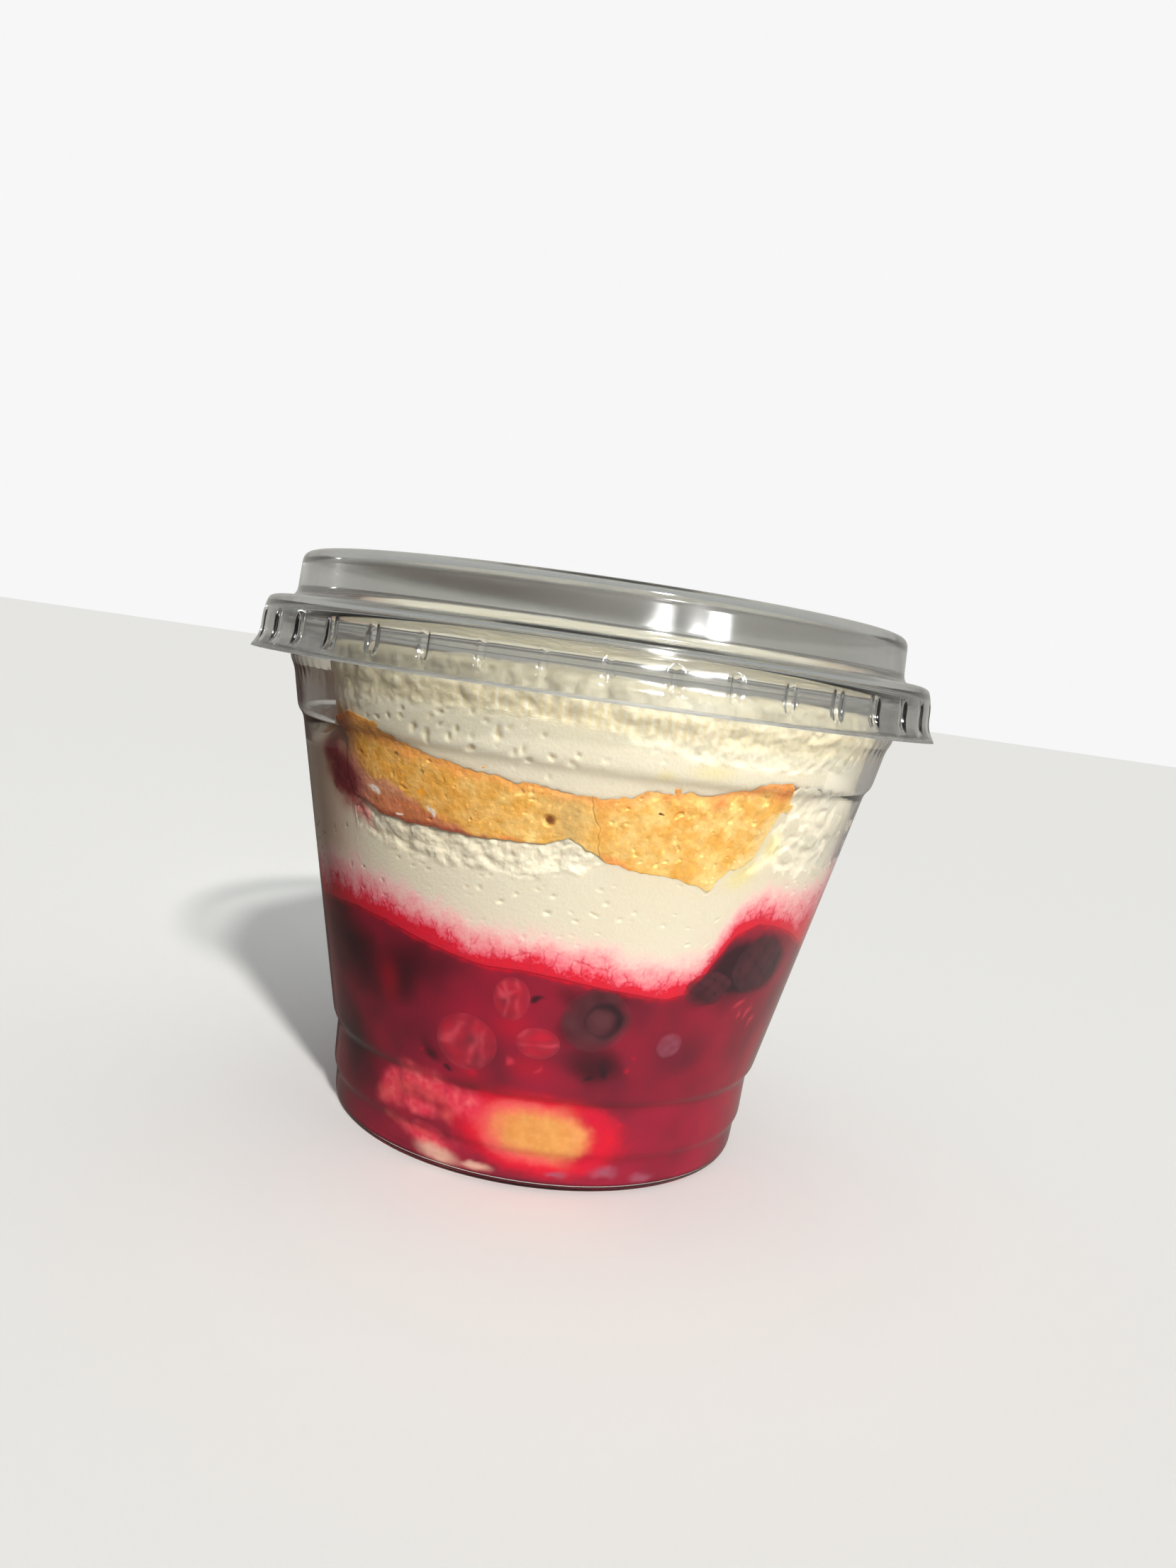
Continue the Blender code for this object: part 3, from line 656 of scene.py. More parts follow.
def speckle_group():
    """Fine variation for food: a factor that lightens and darkens a colour, and a height for its bump."""
    group = bpy.data.node_groups.new("food_grain", "ShaderNodeTree")
    for way, names in (("INPUT", ("Coarse", "Fine", "Contrast")), ("OUTPUT", ("Factor", "Height"))):
        for name in names:
            group.interface.new_socket(name=name, in_out=way, socket_type="NodeSocketFloat")
    given = group.nodes.new("NodeGroupInput").outputs
    out = group.nodes.new("NodeGroupOutput").inputs
    coords = object_coords(group)
    coarse, fine = noise(group, coords, given["Coarse"], 3.0), noise(group, coords, given["Fine"])
    height = maths(group, "ADD", coarse, fine)
    centred = maths(group, "SUBTRACT", height, 1.0)
    put(group, maths(group, "MULTIPLY_ADD", centred, given["Contrast"], 1.0), out["Factor"])
    put(group, height, out["Height"])
    return group


FOOD_GRAIN = speckle_group()


def attribute(tree, name, output="Fac"):
    """A value that the points carry, as a socket."""
    return add(tree, "Attribute", output=output, attribute_name=name)


def food_material(name, grains, roughness, bump, soft, soft_radius, soft_scale, specular):
    """Food with its colour on the points as `tone`, varied and roughened by the shared grain."""
    material, tree, shader = new_material(name, {
        "Roughness": roughness, "Specular IOR Level": specular, "Subsurface Weight": soft,
        "Subsurface Radius": soft_radius, "Subsurface Scale": soft_scale})
    speckle = add(tree, "Group", grains, node_tree=FOOD_GRAIN).node.outputs
    parts = {0: attribute(tree, "tone", "Color"), "Scale": speckle["Factor"]}
    put(tree, add(tree, "VectorMath", parts, operation="SCALE", name="varied tone"), shader["Base Color"])
    parts = {"Strength": bump, "Distance": 0.0003, "Height": speckle["Height"]}
    put(tree, add(tree, "Bump", parts, name="fine bump"), shader["Normal"])
    return material


def roughened(material):
    """Adds small lumps of clotted cream to a food material's bump, as much as the points' `rough` says."""
    tree = material.node_tree
    lumps = noise(tree, object_coords(tree), CURD_SCALE, 1.5)
    height = maths(tree, "MULTIPLY", attribute(tree, "rough"), lumps)
    relief = add(tree, "Bump", {"Strength": 0.8, "Distance": CURD_BUMP, "Height": height})
    put(tree, relief, tree.nodes["fine bump"].inputs["Normal"])
    return material


def face_rings(edge, count, surface):
    """Rings from the edge ring inwards: x and y shrink to the axis, and z follows surface(points, share)."""
    share = np.linspace(0.0, 1.0, count + 1)[1:, None]
    rings = np.repeat(edge[None], count, axis=0)
    rings[..., :2] *= 1 - share[..., None]
    rings[..., 2] = surface(rings, share)
    return rings


def settled_rings(edge, count, level, reach):
    """Rings from the edge ring inwards whose z goes to one level, eased over a share of the way."""
    z = edge[:, 2]
    return face_rings(edge, count, lambda points, share: z + (level - z) * ease(share, 0, reach))


def bell(value, width, power=2):
    """exp(-(value / width)^power)."""
    return np.exp(-(value / width) ** power)


def curds(points, seed):
    """The depth of clotted cream behind its highest lumps: domes of three sizes, one upon another."""
    high = 0.56 * domes(points, 2.7, seed) + 0.36 * domes(points, 1.4, seed + 1)
    return (1.02 - (high + 0.16 * domes(points, 0.75, seed + 2))).clip(0.0) * 0.95


def drawn_in(azimuth, height):
    """How far the heap stands back from the wall, left and a little right, more with its height."""
    inset = 0.0
    for middle, width, depth in HEAP_INSETS:
        inset = inset + depth * bell(apart(azimuth, middle), width, 4)
    return inset * ease(height, 50.5, 56.0)


def cream_tone(rings, depth):
    """Cream with a slow drift between whiter and warmer, and painted shade, darker and yellower, in its
    hollows.
    """
    return tinted(CREAM_COLOUR, (CREAM_WARM, 0.45 + 0.5 * grain(rings, 11, 9)), (CREAM_HOLLOW_SHADE, depth))


def heap_low(azimuth):
    """The heap's lower edge: the sponge's top line made scalloped by two sizes of noise."""
    round_about = place(azimuth, 40.0, 52.0)
    high = sponge_high(azimuth) - 0.40
    return high + 0.34 * grain(round_about, 1.7, 22) + 0.22 * grain(round_about, 0.7, 23)


def heap_rings():
    """The heap: a wall side drawn in where the cream leaves the cup, with bubbles below and curds above the
    line of contact, and a lumpy top."""
    azimuth = all_round(AROUND)
    low = heap_low(azimuth)
    height = low + (HEAP_EDGE_Z - low) * np.linspace(0.0, 1.0, HEAP_RINGS[1])[:, None]
    flat = place(azimuth, wall(height), height)
    contact = ease(line(HEAP_CONTACT_TOP)(azimuth) + 0.5 * grain(flat, 2, 72) - height, -0.5, 0.3)
    inset = drawn_in(azimuth, height)
    loose = np.maximum(1 - contact, 0.6 * ease(inset, 0.2, 1.2))
    lumps = curds(flat, 2) * loose * (0.55 + 0.07 * (height - 58.0).clip(0.0))
    burst = pits(azimuth, height, flat, BIG_PITS)
    small = pits(azimuth, height, flat, bubbles(150, (52.6, 59.0), (0.12, 0.36), (0.16, 0.6), 8))
    relief = lumps + (1 - loose) * (0.40 * burst + 0.24 * small) + inset
    foot_round = 0.10 * (1 - ease(height - low, 0.0, 0.4))
    round_off = 1.1 * (1 - np.sqrt(1 - ease(height, HEAP_EDGE_Z - 1.4, HEAP_EDGE_Z + 0.01) ** 2 * 0.999))
    side = place(azimuth, wall(height) + CREAM_REACH - relief - round_off - foot_round, height)

    def top(points, share):
        lumpy = 0.75 * grain(points, 9, 5) + 0.45 * grain(points, 4.2, 6) - 0.5 * curds(points, 73)
        return HEAP_EDGE_Z + (HEAP_MIDDLE_Z + lumpy - HEAP_EDGE_Z) * ease(share, 0, 0.16)

    under = settled_rings(side[0], HEAP_RINGS[0], HEAP_UNDER_Z, 0.4)[::-1]
    rings = np.concatenate([under, side, face_rings(side[-1], HEAP_RINGS[2], top)])
    seen = slice(HEAP_RINGS[0], sum(HEAP_RINGS[:2]))
    hollow_shade = np.zeros(rings.shape[:2])
    # painted shade in the hollows: between the curds and in the burst bubbles
    hollow_shade[seen] = 0.35 * np.clip(lumps, 0.0, 1.0) + (1 - loose) * (0.85 * burst + 0.5 * small)
    hollow_shade[seen.stop:] = 0.25 * curds(rings[seen.stop:], 73).clip(0.0, 1.0)
    rough = np.ones(rings.shape[:2])
    rough[seen] = 0.6 * loose
    azimuth, height = azimuth_of(rings), rings[..., 2]
    outer = ease(np.hypot(rings[..., 0], rings[..., 1]), 29, 36)
    # painted shade: brown patches at the heap's far left
    brown = 1.6 * spots(azimuth, height, HEAP_SHADE_BROWNS, 1) * (1 + 0.4 * grain(rings, 1.8, 76))
    # painted shade: the lid skirt's shadow on the heap's outer top, and darker where the heap stands back
    # from the wall
    tone = tinted(cream_tone(rings, hollow_shade), (CREAM_SHADED, 0.85 * ease(height, 60.6, 62.8) * outer),
                  (CREAM_DUSK_SHADE, 0.7 * outer * ease(drawn_in(azimuth, height), 0.3, 3)), (CREAM_SHADE_BROWN, brown),
                  (CREAM_STAIN, 0.55 * spots(azimuth, height, HEAP_STAINS, 1)))
    return rings, tone, rough


CREAM_GRAIN = (700.0, 2600.0, 0.04)
cream_material = food_material("whipped_cream", CREAM_GRAIN, 0.5, 0.15, 0.5, (1.0, 0.85, 0.6), MM, 0.3)
roughened(cream_material)
heap, heap_tone, heap_rough = heap_rings()
skin("cream_heap", heap, cream_material, "cream_top", "whipped_cream", tone=heap_tone, rough=heap_rough)


# The lower cream: one band all the way round between the compote and the sponge, pink for a few millimetres
# above the compote, in clouds and fine red veins where juice has crept up, and higher at the right.
BLEED_RED = (0.74, 0.010, 0.040, 1.0)
BLEED_STOPS = [(0.08, BLEED_RED), (0.17, (0.83, 0.13, 0.20, 1.0)), (0.34, (0.89, 0.34, 0.39, 1.0)),
               (0.66, (0.90, 0.66, 0.63, 1.0))]
BLEED_NOISES = [(230.0, 1.0, 3.0), (700.0, 2.0, 2.6), (2400.0, 3.0, 1.8)]
BLEED_LIFT = 0.1
BLEED_HEIGHT = 6.4
VEIN_COLOUR = (0.66, 0.015, 0.05, 1.0)
VEIN_SHAKE = (420.0, 0.0020)
VEIN_CELLS = 560.0
VEIN_STRETCH = 0.45
BIG_LUMPS = [
    (57.9, 51.1, 2.6, 3, -10), (43.6, 54.6, 1.7, 1.5), (43, 50.3, 1.4, 1.7, 15), (50, 48.4, 1.9, 1.5),
    (43.8, 46.4, 1.7, 1.2, -20), (51.6, 53.6, 1.6, 1.4), (0.4, 44.9, 1.4, 0.8)
]
SPONGE_RIGHT = [(41.5, 27.4), (43, 28.8), (44.8, 32.7), (46.7, 35.6), (50, 36.8), (52.2, 38)]
YELLOW_STAINS = [(34, 43.9, 4.2, 2.4, 35), (39, 47.5, 2.6, 3)]
SMEAR = [(-49, 48.4, 7.8, 5.2, -30), (-53, 50.8, 4.6, 3.6)]
LEFT_SHADE_HAZE = [(-51, 52.4, 8.5, 3.6)]
LEFT_SHADE_BROWN = (0.36, 0.20, 0.13)
SMEAR_STREAK = [(-43.6, 44.3, 3.6, 1.3, -38)]
SMEAR_PINK = (0.55, 0.24, 0.18)
SMEAR_RED = (0.66, 0.15, 0.16)
SMEAR_DARK = (0.22, 0.030, 0.038)
HIGH_BLEEDS = [(78, 17, 1.9), (-52, 26, 0.25), (150, 16, 0.4)]
CURDS_DEEP = ([0, 21, 27, 33, 90, 150], [4, 3.8, 3.2, -1.6, -1.6, 3.4])
BAND_RINGS = (6, 96)
BAND_UNDER_Z = 30.5
BAND_OVER_Z = 44.0


def smeared(points, tone):
    """A tone with the left berry's juice over it, maroon and brownish pink where thin, and brown painted
    shade further left.
    """
    shaken = azimuth_of(points) + 1.2 * grain(points, 2.6, 80)
    height = points[..., 2]
    smear = spots(shaken, height + 0.6 * grain(points, 1.9, 75), SMEAR, 1)
    # painted shade: a brown haze over the far left, away from the lamp
    haze = 1.5 * spots(shaken, height, LEFT_SHADE_HAZE, 1) * ease(-shaken, 42, 47)
    return tinted(tone, (LEFT_SHADE_BROWN, haze), (SMEAR_PINK, 1.9 * smear), (SMEAR_DARK, 1.9 * smear - 0.4),
                  (SMEAR_RED, 0.85 * spots(shaken, height, SMEAR_STREAK, 1)))


def lower_cream_rings():
    """The band between two lines, with curds under and beside the sponge and burst bubbles below them."""
    azimuth = all_round(AROUND)
    low = compote_line(azimuth) - 0.5
    beside = ease(apart(azimuth, -3.4), 42.3, 43.5) * ease(apart(azimuth, 184.5), 43, 44.5)
    high = sponge_low(azimuth) + 0.25
    high = high + (sponge_high(azimuth) + 0.2 - high).clip(0.0) * beside
    height = low + (high - low) * np.linspace(0.0, 1.0, BAND_RINGS[1])[:, None]
    flat = place(azimuth, wall(height), height)
    deep = np.interp(apart(azimuth, -25), *CURDS_DEEP)
    under = ease(height - sponge_low(azimuth) + deep + 0.9 * grain(flat, 2.5, 74), -0.7, 0.8) * (1 - beside)
    past = azimuth - np.interp(height, *zip(*SPONGE_RIGHT)) + 1.5 * grain(flat, 2.5, 81)
    right = ease(past, 0, 5) * (azimuth < 120) * ease(height, 42.5, 46)
    clotted = np.maximum(under, right)
    scattered = bubbles(420, (32.5, 44.0), (0.12, 0.32), (0.12, 0.38), 14)
    small = np.maximum(pits(azimuth, height, flat, LOW_PITS), 0.8 * pits(azimuth, height, flat, scattered))
    pressed = ease(spots(azimuth, height + 0.3 * grain(flat, 2, 77), BIG_LUMPS, 0.5), 0, 0.9)
    lumps = clotted * curds(flat, 12) * (1 - pressed)
    relief = (0.75 - 0.25 * right) * lumps + 0.28 * small * (1 - clotted) + drawn_in(azimuth, height)
    side = place(azimuth, wall(height) + CREAM_REACH + 0.02 - relief, height)
    under = settled_rings(side[0], BAND_RINGS[0], BAND_UNDER_Z, 0.6)[::-1]
    over = settled_rings(side[-1], BAND_RINGS[0], BAND_OVER_Z, 0.3)
    rings = np.concatenate([under, side, over])
    seen = slice(BAND_RINGS[0], -BAND_RINGS[0])
    hollow_shade = np.zeros(rings.shape[:2])
    # painted shade in the hollows: between the curds and in the pits
    hollow_shade[seen] = 0.34 * lumps.clip(0.0, 1.0) + 0.7 * small * (1 - clotted)
    rough = np.zeros(rings.shape[:2])
    rough[seen] = clotted * (1 - 0.5 * right)
    azimuth, height = azimuth_of(rings), rings[..., 2]
    rise = height - compote_line(azimuth)
    for middle, width, lift in HIGH_BLEEDS:
        rise = rise / (1 + lift * bell(apart(azimuth, middle), width, 4))
    # painted shade where the cream stands back from the wall and at the far left, away from the lamp
    dusk_shade = 0.7 * ease(drawn_in(azimuth, height), 0.2, 2)
    dusk_shade = np.maximum(dusk_shade, 0.6 * ease(18 - apart(azimuth, -58), 0, 18))
    tone = tinted(cream_tone(rings, hollow_shade), (CREAM_DUSK_SHADE, dusk_shade),
                  (CREAM_STAIN, 0.85 * spots(azimuth, height, YELLOW_STAINS, 1)))
    return rings, smeared(rings, tone), rise, rough


def bled_cream_material():
    """The cream's material with red drawn up into it: `rise` is the height above the compote in millimetres.

    Three sizes of noise shift the rise; a ramp turns it into red, rose, pink and pale, and the edges of a
    shaken cell pattern draw thin veins in the first three millimetres.
    """
    material = roughened(food_material("bled_cream", CREAM_GRAIN, 0.48, 0.15, 0.4, (1.0, 0.75, 0.6), MM, 0.3))
    tree, shader = shader_of(material)
    coords = object_coords(tree)
    total = attribute(tree, "rise")
    for scale, detail, reach in BLEED_NOISES:
        shifted = maths(tree, "SUBTRACT", noise(tree, coords, scale, detail), 0.5)
        total = maths(tree, "MULTIPLY_ADD", shifted, reach, total)
    share = add(tree, "MapRange", {"Value": total, "From Min": BLEED_LIFT, "From Max": BLEED_HEIGHT})
    ramp = add(tree, "ValToRGB", [share])
    stops = ramp.node.color_ramp.elements
    stops[0].color = BLEED_RED
    stops[1].color = (*CREAM_COLOUR, 1.0)
    for position, colour in BLEED_STOPS:
        stops.new(position).color = colour
    scale, reach = VEIN_SHAKE
    shake = noise(tree, coords, scale, output="Color")
    shaken = add(tree, "VectorMath", [shake, (reach, reach, reach), coords], operation="MULTIPLY_ADD")
    drawn = add(tree, "VectorMath", [shaken, (1.0, 1.0, VEIN_STRETCH)], operation="MULTIPLY")
    parts = {"Vector": drawn, "Scale": VEIN_CELLS}
    edges = add(tree, "TexVoronoi", parts, "Distance", feature="DISTANCE_TO_EDGE")
    thin = eased_range(tree, edges, 0.0, 0.075, 1.0, 0.0)
    vein = maths(tree, "MULTIPLY", thin, eased_range(tree, total, 0.6, 3.8, 0.9, 0.0))
    stained = mixed(tree, vein, ramp, VEIN_COLOUR)
    clean = eased_range(tree, share, 0.6, 1.0)
    put(tree, mixed(tree, clean, stained, tree.nodes["varied tone"].outputs[0]), shader["Base Color"])
    return material


band, band_tone, band_rise, band_rough = lower_cream_rings()
skin("cream_band", band, bled_cream_material(), "cream_lower", "whipped_cream",
     tone=band_tone, rise=band_rise, rough=band_rough)


# The upper sponge: two pieces of yellow cake laid side by side, with a browned skin along the top and the far
# left, wet and pale where they meet, their open crumb pressed against the wall.
SPONGE_REACH = 0.10
SPONGE_GOLD = (0.79, 0.46, 0.100)
SPONGE_LIGHT = (0.90, 0.67, 0.265)
SPONGE_AMBER = (0.76, 0.36, 0.045)
SPONGE_ORANGE = (0.80, 0.33, 0.085)
SPONGE_BROWN = (0.56, 0.20, 0.075)
# Painted shade for the crumb's holes and the top left corner, where the top turns away from the lamp.
SPONGE_SHADE_DARK = (0.27, 0.085, 0.040)
SPONGE_WET = (0.66, 0.45, 0.165)
SPONGE_THIN = (0.86, 0.70, 0.36)
CRUST_RED = (0.64, 0.24, 0.12)
CRUST_PALE = (0.68, 0.35, 0.21)
CRUST_DARK = (0.34, 0.080, 0.045)
YOLK_COLOUR = (0.95, 0.42, 0.03)
FLECK_WHITE = (0.93, 0.86, 0.80)
ORANGE_ZONES = [
    (37.3, 54.6, 3, 2.6), (31, 54.6, 4, 1.4, 12), (8.6, 43.8, 3.4, 1, -20), (-11, 45, 2.6, 0.6),
    (24, 52.6, 3, 1.6, 10)
]
CRUST_TOP = [(-48, 50.4), (-42.6, 49.6), (-35, 49), (-27.8, 47), (-22.3, 45.7), (-14.8, 44.8), (-8, 43.9)]
CRUST_FLECKS = [(-39.6, 47.6, 1.15, 0.5, -25), (-26, 46.5, 1.1, 0.42, -40), (-33, 45.3, 0.4, 0.18)]
YOLK_SPOT = [(-28.4, 48.6, 0.75, 0.5)]
CRUMB_HOLES = [(-4.3, 47.9, 0.72, 0.8), (172, 48.6, 0.9, 0.8, 20), (14.5, 50.4, 0.28, 0.15)]
SEAM = (2.4, 0.42)
CRUMB_CELLS = 1700.0
LOOP_AROUND = 440
RUN_RINGS = 8


def rectangle_loop(wide, tall):
    """Even steps round the square from (-1, -1) to (1, 1), by its true lengths, from the top's middle."""
    corners = np.array([(0, 1), (1, 1), (1, -1), (-1, -1), (-1, 1), (0, 1)], float)
    length = np.concatenate([[0.0], np.cumsum(np.hypot(*(np.diff(corners, axis=0) * (wide, tall)).T))])
    step = np.arange(LOOP_AROUND) * length[-1] / LOOP_AROUND
    return np.interp(step, length, corners[:, 0]), np.interp(step, length, corners[:, 1])


def block_rings(side_places, wide, tall, front_rings=76, back_rings=52):
    """A block through the cup: loops that grow on the shown face, run to the back and shrink there.

    side_places(across, up, behind) puts a point of the unit square on the wall in front or behind.
    """
    across, up = rectangle_loop(wide, tall)
    grow = np.linspace(0.0, 1.0, front_rings + 1)[:, None]
    front = side_places(grow * across, grow * up, False)
    shrink = np.linspace(1.0, 0.0, back_rings + 1)[:, None]
    back = side_places(shrink * across, shrink * up, True)
    run = np.linspace(0.0, 1.0, RUN_RINGS + 2)[1:-1, None, None]
    return np.concatenate([front, front[-1] + (back[0] - front[-1]) * run, back])


def crumb_relief(azimuth, height, inner):
    """How far the crumb lies behind the wall: soft torn lumps, pores and a few holes, none at the rim."""
    flat = place(azimuth, wall(height), height)
    lumps = 0.6 * domes(flat, 2.4, 32) + 0.5 * domes(flat, 1.1, 30)
    pores = ease(grain(flat, 0.8, 31) + 0.4 * grain(flat, 1.9, 29), 0.55, 1)
    hole = spots(azimuth, height, CRUMB_HOLES, 0.5)
    return inner * (0.15 * (1 - lumps).clip(0.0) + 0.22 * pores + 1.5 * hole)


def upper_sponge_places(left, right):
    """Puts the unit square on the wall between two azimuths, functions of up, and the sponge's lines."""
    def places(across, up, behind):
        start, end = left(up), right(up)
        azimuth = (start + end) / 2 + (end - start) / 2 * across
        rough = place(azimuth, 40.0, 30.0 + 4.0 * up)
        edge = ease(np.abs(across), 0.86, 1)
        azimuth = azimuth + edge * (0.5 * grain(rough, 1.6, 24) + 0.35 * grain(rough, 0.7, 25))
        azimuth = 180.0 - azimuth if behind else azimuth
        low = sponge_low(azimuth)
        height = low + (heap_low(azimuth) + 0.75 - low).clip(0.2) * (up + 1) / 2
        inner = ease(1 - np.maximum(np.abs(across), np.abs(up)), 0.05, 0.15)
        reach = SPONGE_REACH - 0.085 * ease(up, 0.5, 0.78)
        return place(azimuth, wall(height) + reach - crumb_relief(azimuth, height, inner), height)
    return places


def sponge_tone(rings):
    """Golden crumb, orange along the top, wet at the seam, with a browned skin at the lower left."""
    azimuth, height = azimuth_of(rings), rings[..., 2]
    shown = azimuth > -60
    mottle = 0.7 * grain(rings, 2.6, 33) + 0.7 * grain(rings, 1.2, 34) + 0.3 * grain(rings, 0.6, 18)
    amber = 0.7 * ease(grain(rings, 1.5, 35) + 0.9 * grain(rings, 4, 36), 0.2, 1.2)
    drift = ease(-azimuth, -6, 34) * (np.abs(azimuth) < 90)
    seam = SEAM[0] + SEAM[1] * (51.0 - height)
    wet = bell(apart(azimuth, seam - 4.2), 3.2) * ease(height, 44, 47) + bell(apart(azimuth, 183), 4)
    band = bell(apart(azimuth, seam + 1.2 + 0.5 * grain(rings, 1.5, 38)), 1.2) * ease(height, 45.5, 47.5)
    depth = 1.0 + 1.1 * ease(-azimuth, 22, 40) * shown
    depth = depth + 0.5 * grain(rings, 4, 39) + 0.3 * grain(rings, 1.3, 26)
    top = ease(depth - (heap_low(azimuth) + 0.40 - height), -0.9, 0.7)
    ending = -azimuth - 0.55 * (height - 51.0).clip(-9, 3) + 1.4 * grain(rings, 2.4, 78)
    # painted shade at the top left corner
    corner = ease(-azimuth + 1.4 * (height - 54.6).clip(-3, 1), 43.5, 47.5) * shown
    tone = tinted(
        SPONGE_GOLD, (SPONGE_LIGHT, 0.40 + mottle), (SPONGE_AMBER, amber), (SPONGE_AMBER, 0.42 * drift),
        (SPONGE_WET, wet * (0.9 + 0.5 * grain(rings, 1.2, 37))), (SPONGE_AMBER, 0.6 * band),
        (SPONGE_ORANGE, 0.7 * top), (SPONGE_ORANGE, 1.15 * spots(azimuth, height, ORANGE_ZONES, 1)),
        (SPONGE_BROWN, 0.75 * ease(ending, 41, 46.5) * shown), (SPONGE_SHADE_DARK, 0.75 * corner))
    brown = tinted(
        CRUST_RED, (SPONGE_BROWN, 0.4 + 0.8 * grain(rings, 1.3, 28)),
        (CRUST_PALE, 0.8 * ease(height - 47.2 + 0.5 * grain(rings, 1.5, 79), -0.5, 0.8)),
        (CRUST_DARK, 0.85 * ease(0.5 - (height - sponge_low(azimuth)), -0.3, 0.3)))
    crust_top = np.interp(azimuth, *zip(*CRUST_TOP))
    crust_top = crust_top + 0.7 * grain(rings, 2.2, 27) + 0.3 * grain(rings, 0.8, 19)
    past = azimuth - np.interp(height, *zip(*SPONGE_RIGHT)) + 1.6 * grain(rings, 2, 16)
    thin = ease(past, -4.2, 0.4) * ease(52.4 - height, 0, 1.5) * (azimuth < 60)
    tone = tinted(
        tone, (brown, ease(crust_top - height, -0.5, 0.6) * (azimuth < -7) * shown),
        (SPONGE_THIN, 0.7 * thin),
        # painted shade in the crumb holes
        (SPONGE_SHADE_DARK, 0.75 * ease(spots(azimuth, height, CRUMB_HOLES, 0.8), 0.45, 1)),
        (YOLK_COLOUR, spots(azimuth, height, YOLK_SPOT, 0.8)))
    flecks = spots(azimuth + grain(rings, 0.9, 17), height, CRUST_FLECKS, 0.4)
    return tinted(smeared(rings, tone), (FLECK_WHITE, flecks))


def crumb_material():
    """Wet crumb: the shared grain's bump, and small cells, some glossy and with painted highlight, as sugar
    glints.
    """
    grains = (520.0, 1500.0, 0.34)
    material = food_material("sponge_cake", grains, 0.42, 0.24, 0.24, (1.0, 0.62, 0.28), 0.0006, 0.45)
    tree, shader = shader_of(material)
    tree.nodes["fine bump"].inputs["Distance"].default_value = 0.0006
    cells = add(tree, "TexVoronoi", {"Vector": object_coords(tree), "Scale": CRUMB_CELLS}).node.outputs
    rare = eased_range(tree, add(tree, "SeparateColor", [cells["Color"]], "Red"), 0.72, 0.98)
    glint = maths(tree, "MULTIPLY", rare, eased_range(tree, cells["Distance"], 0.10, 0.50, 1.0, 0.0))
    # painted highlight: the colour made lighter in the glint cells
    lift = maths(tree, "MULTIPLY_ADD", glint, 0.40, 0.98)
    parts = {0: tree.nodes["varied tone"].outputs[0], "Scale": lift}
    put(tree, add(tree, "VectorMath", parts, operation="SCALE"), shader["Base Color"])
    put(tree, eased_range(tree, glint, 0.0, 0.7, 0.55, 0.16), shader["Roughness"])
    return material


def seam_side(up):
    """The seam's azimuth at a share of the sponge's height."""
    return SEAM[0] + SEAM[1] * (51.0 - 48.0 - 3.8 * up)


def left_end(up):
    """The left piece's end: upright and rounded, with its top skin drawn out further."""
    return -47.5 + 1.6 * (up < 0) * up * up - 1.5 * ease(up, 0.35, 1)


sponge_material = crumb_material()
UPPER_SPONGES = {
    "sponge_upper_left": (left_end, seam_side, 34.0),
    "sponge_upper_right": (lambda up: seam_side(up) + 0.02, lambda up: 40.9 - 1.5 * (up + 1), 25.0),
}
for node, (left, right, wide) in UPPER_SPONGES.items():
    rings = block_rings(upper_sponge_places(left, right), wide, 10.0)
    skin(node.replace("sponge", "cake"), rings, sponge_material, node, "sponge_cake", tone=sponge_tone(rings))


# The compote: berries cooked down in a thick, cloudy crimson syrup. Bits that float just under its surface
# are seen through it, softly, so the layer carries their tones where they press towards the wall.
COMPOTE_REACH = 0.07
COMPOTE_CRIMSON = (0.37, 0.011, 0.042)
COMPOTE_MAROON = (0.16, 0.012, 0.030)
COMPOTE_DARK = (0.040, 0.006, 0.012)
COMPOTE_BRIGHT = (0.72, 0.004, 0.030)
COMPOTE_AROUND = 700
COMPOTE_LOW_Z = 1.25
COMPOTE_RINGS = (22, 110, 5)
FRUIT_FLESH = (0.58, 0.009, 0.041)
FRUIT_SKIN_LINE = (0.64, 0.075, 0.115)
DARK_FLESH = (0.030, 0.008, 0.015)
BASE_PALE = (0.70, 0.41, 0.335)
BASE_LILAC = (0.34, 0.10, 0.16)
HAZE_ROSE = (0.68, 0.040, 0.085)
HAZE_PINK = (0.80, 0.145, 0.165)
# Darker zones: murk in the syrup, and on the left side painted shade, away from the lamp.
MURK_AND_SHADE_ZONES = [
    (-50, 26, 12, 6.5), (-34, 25.6, 12, 5.6, 18), (6.8, 22.6, 4.2, 4), (9.5, 26.6, 7, 2.6),
    (12.5, 17.6, 4, 4.2, 20), (46.5, 30.8, 9.5, 6.6, 20), (36, 28.6, 6.5, 3.2, 25), (-55, 12, 9, 9),
    (-24, 16.8, 2.6, 1.6, -30), (150, 24, 12, 7, 20), (-140, 20, 10, 6, -20), (100, 18, 9, 6)
]
BRIGHT_ZONES = [
    (-15, 14.5, 3.4, 2.4), (-7, 21.6, 4, 3), (0.5, 20.6, 2.6, 2.2), (-2, 16.6, 4.5, 2.6), (-38, 24, 3, 5),
    (62, 16, 3.5, 9), (160, 15, 6, 4), (-105, 22, 6, 5)
]
DARK_BITS = [
    (-2.4, 25.7, 0.62, 1.15, -58), (14.6, 17.2, 0.85, 1.9, 22), (11.6, 15.9, 1.2, 0.55, 25),
    (-21.5, 14.3, 0.8, 0.5, -30), (-20, 17.2, 0.5, 0.8), (121, 22, 2.6, 2, 10), (-118, 25, 2.2, 2.6),
    (172, 16, 3, 2.2, 30), (-84, 18, 2.4, 2)
]
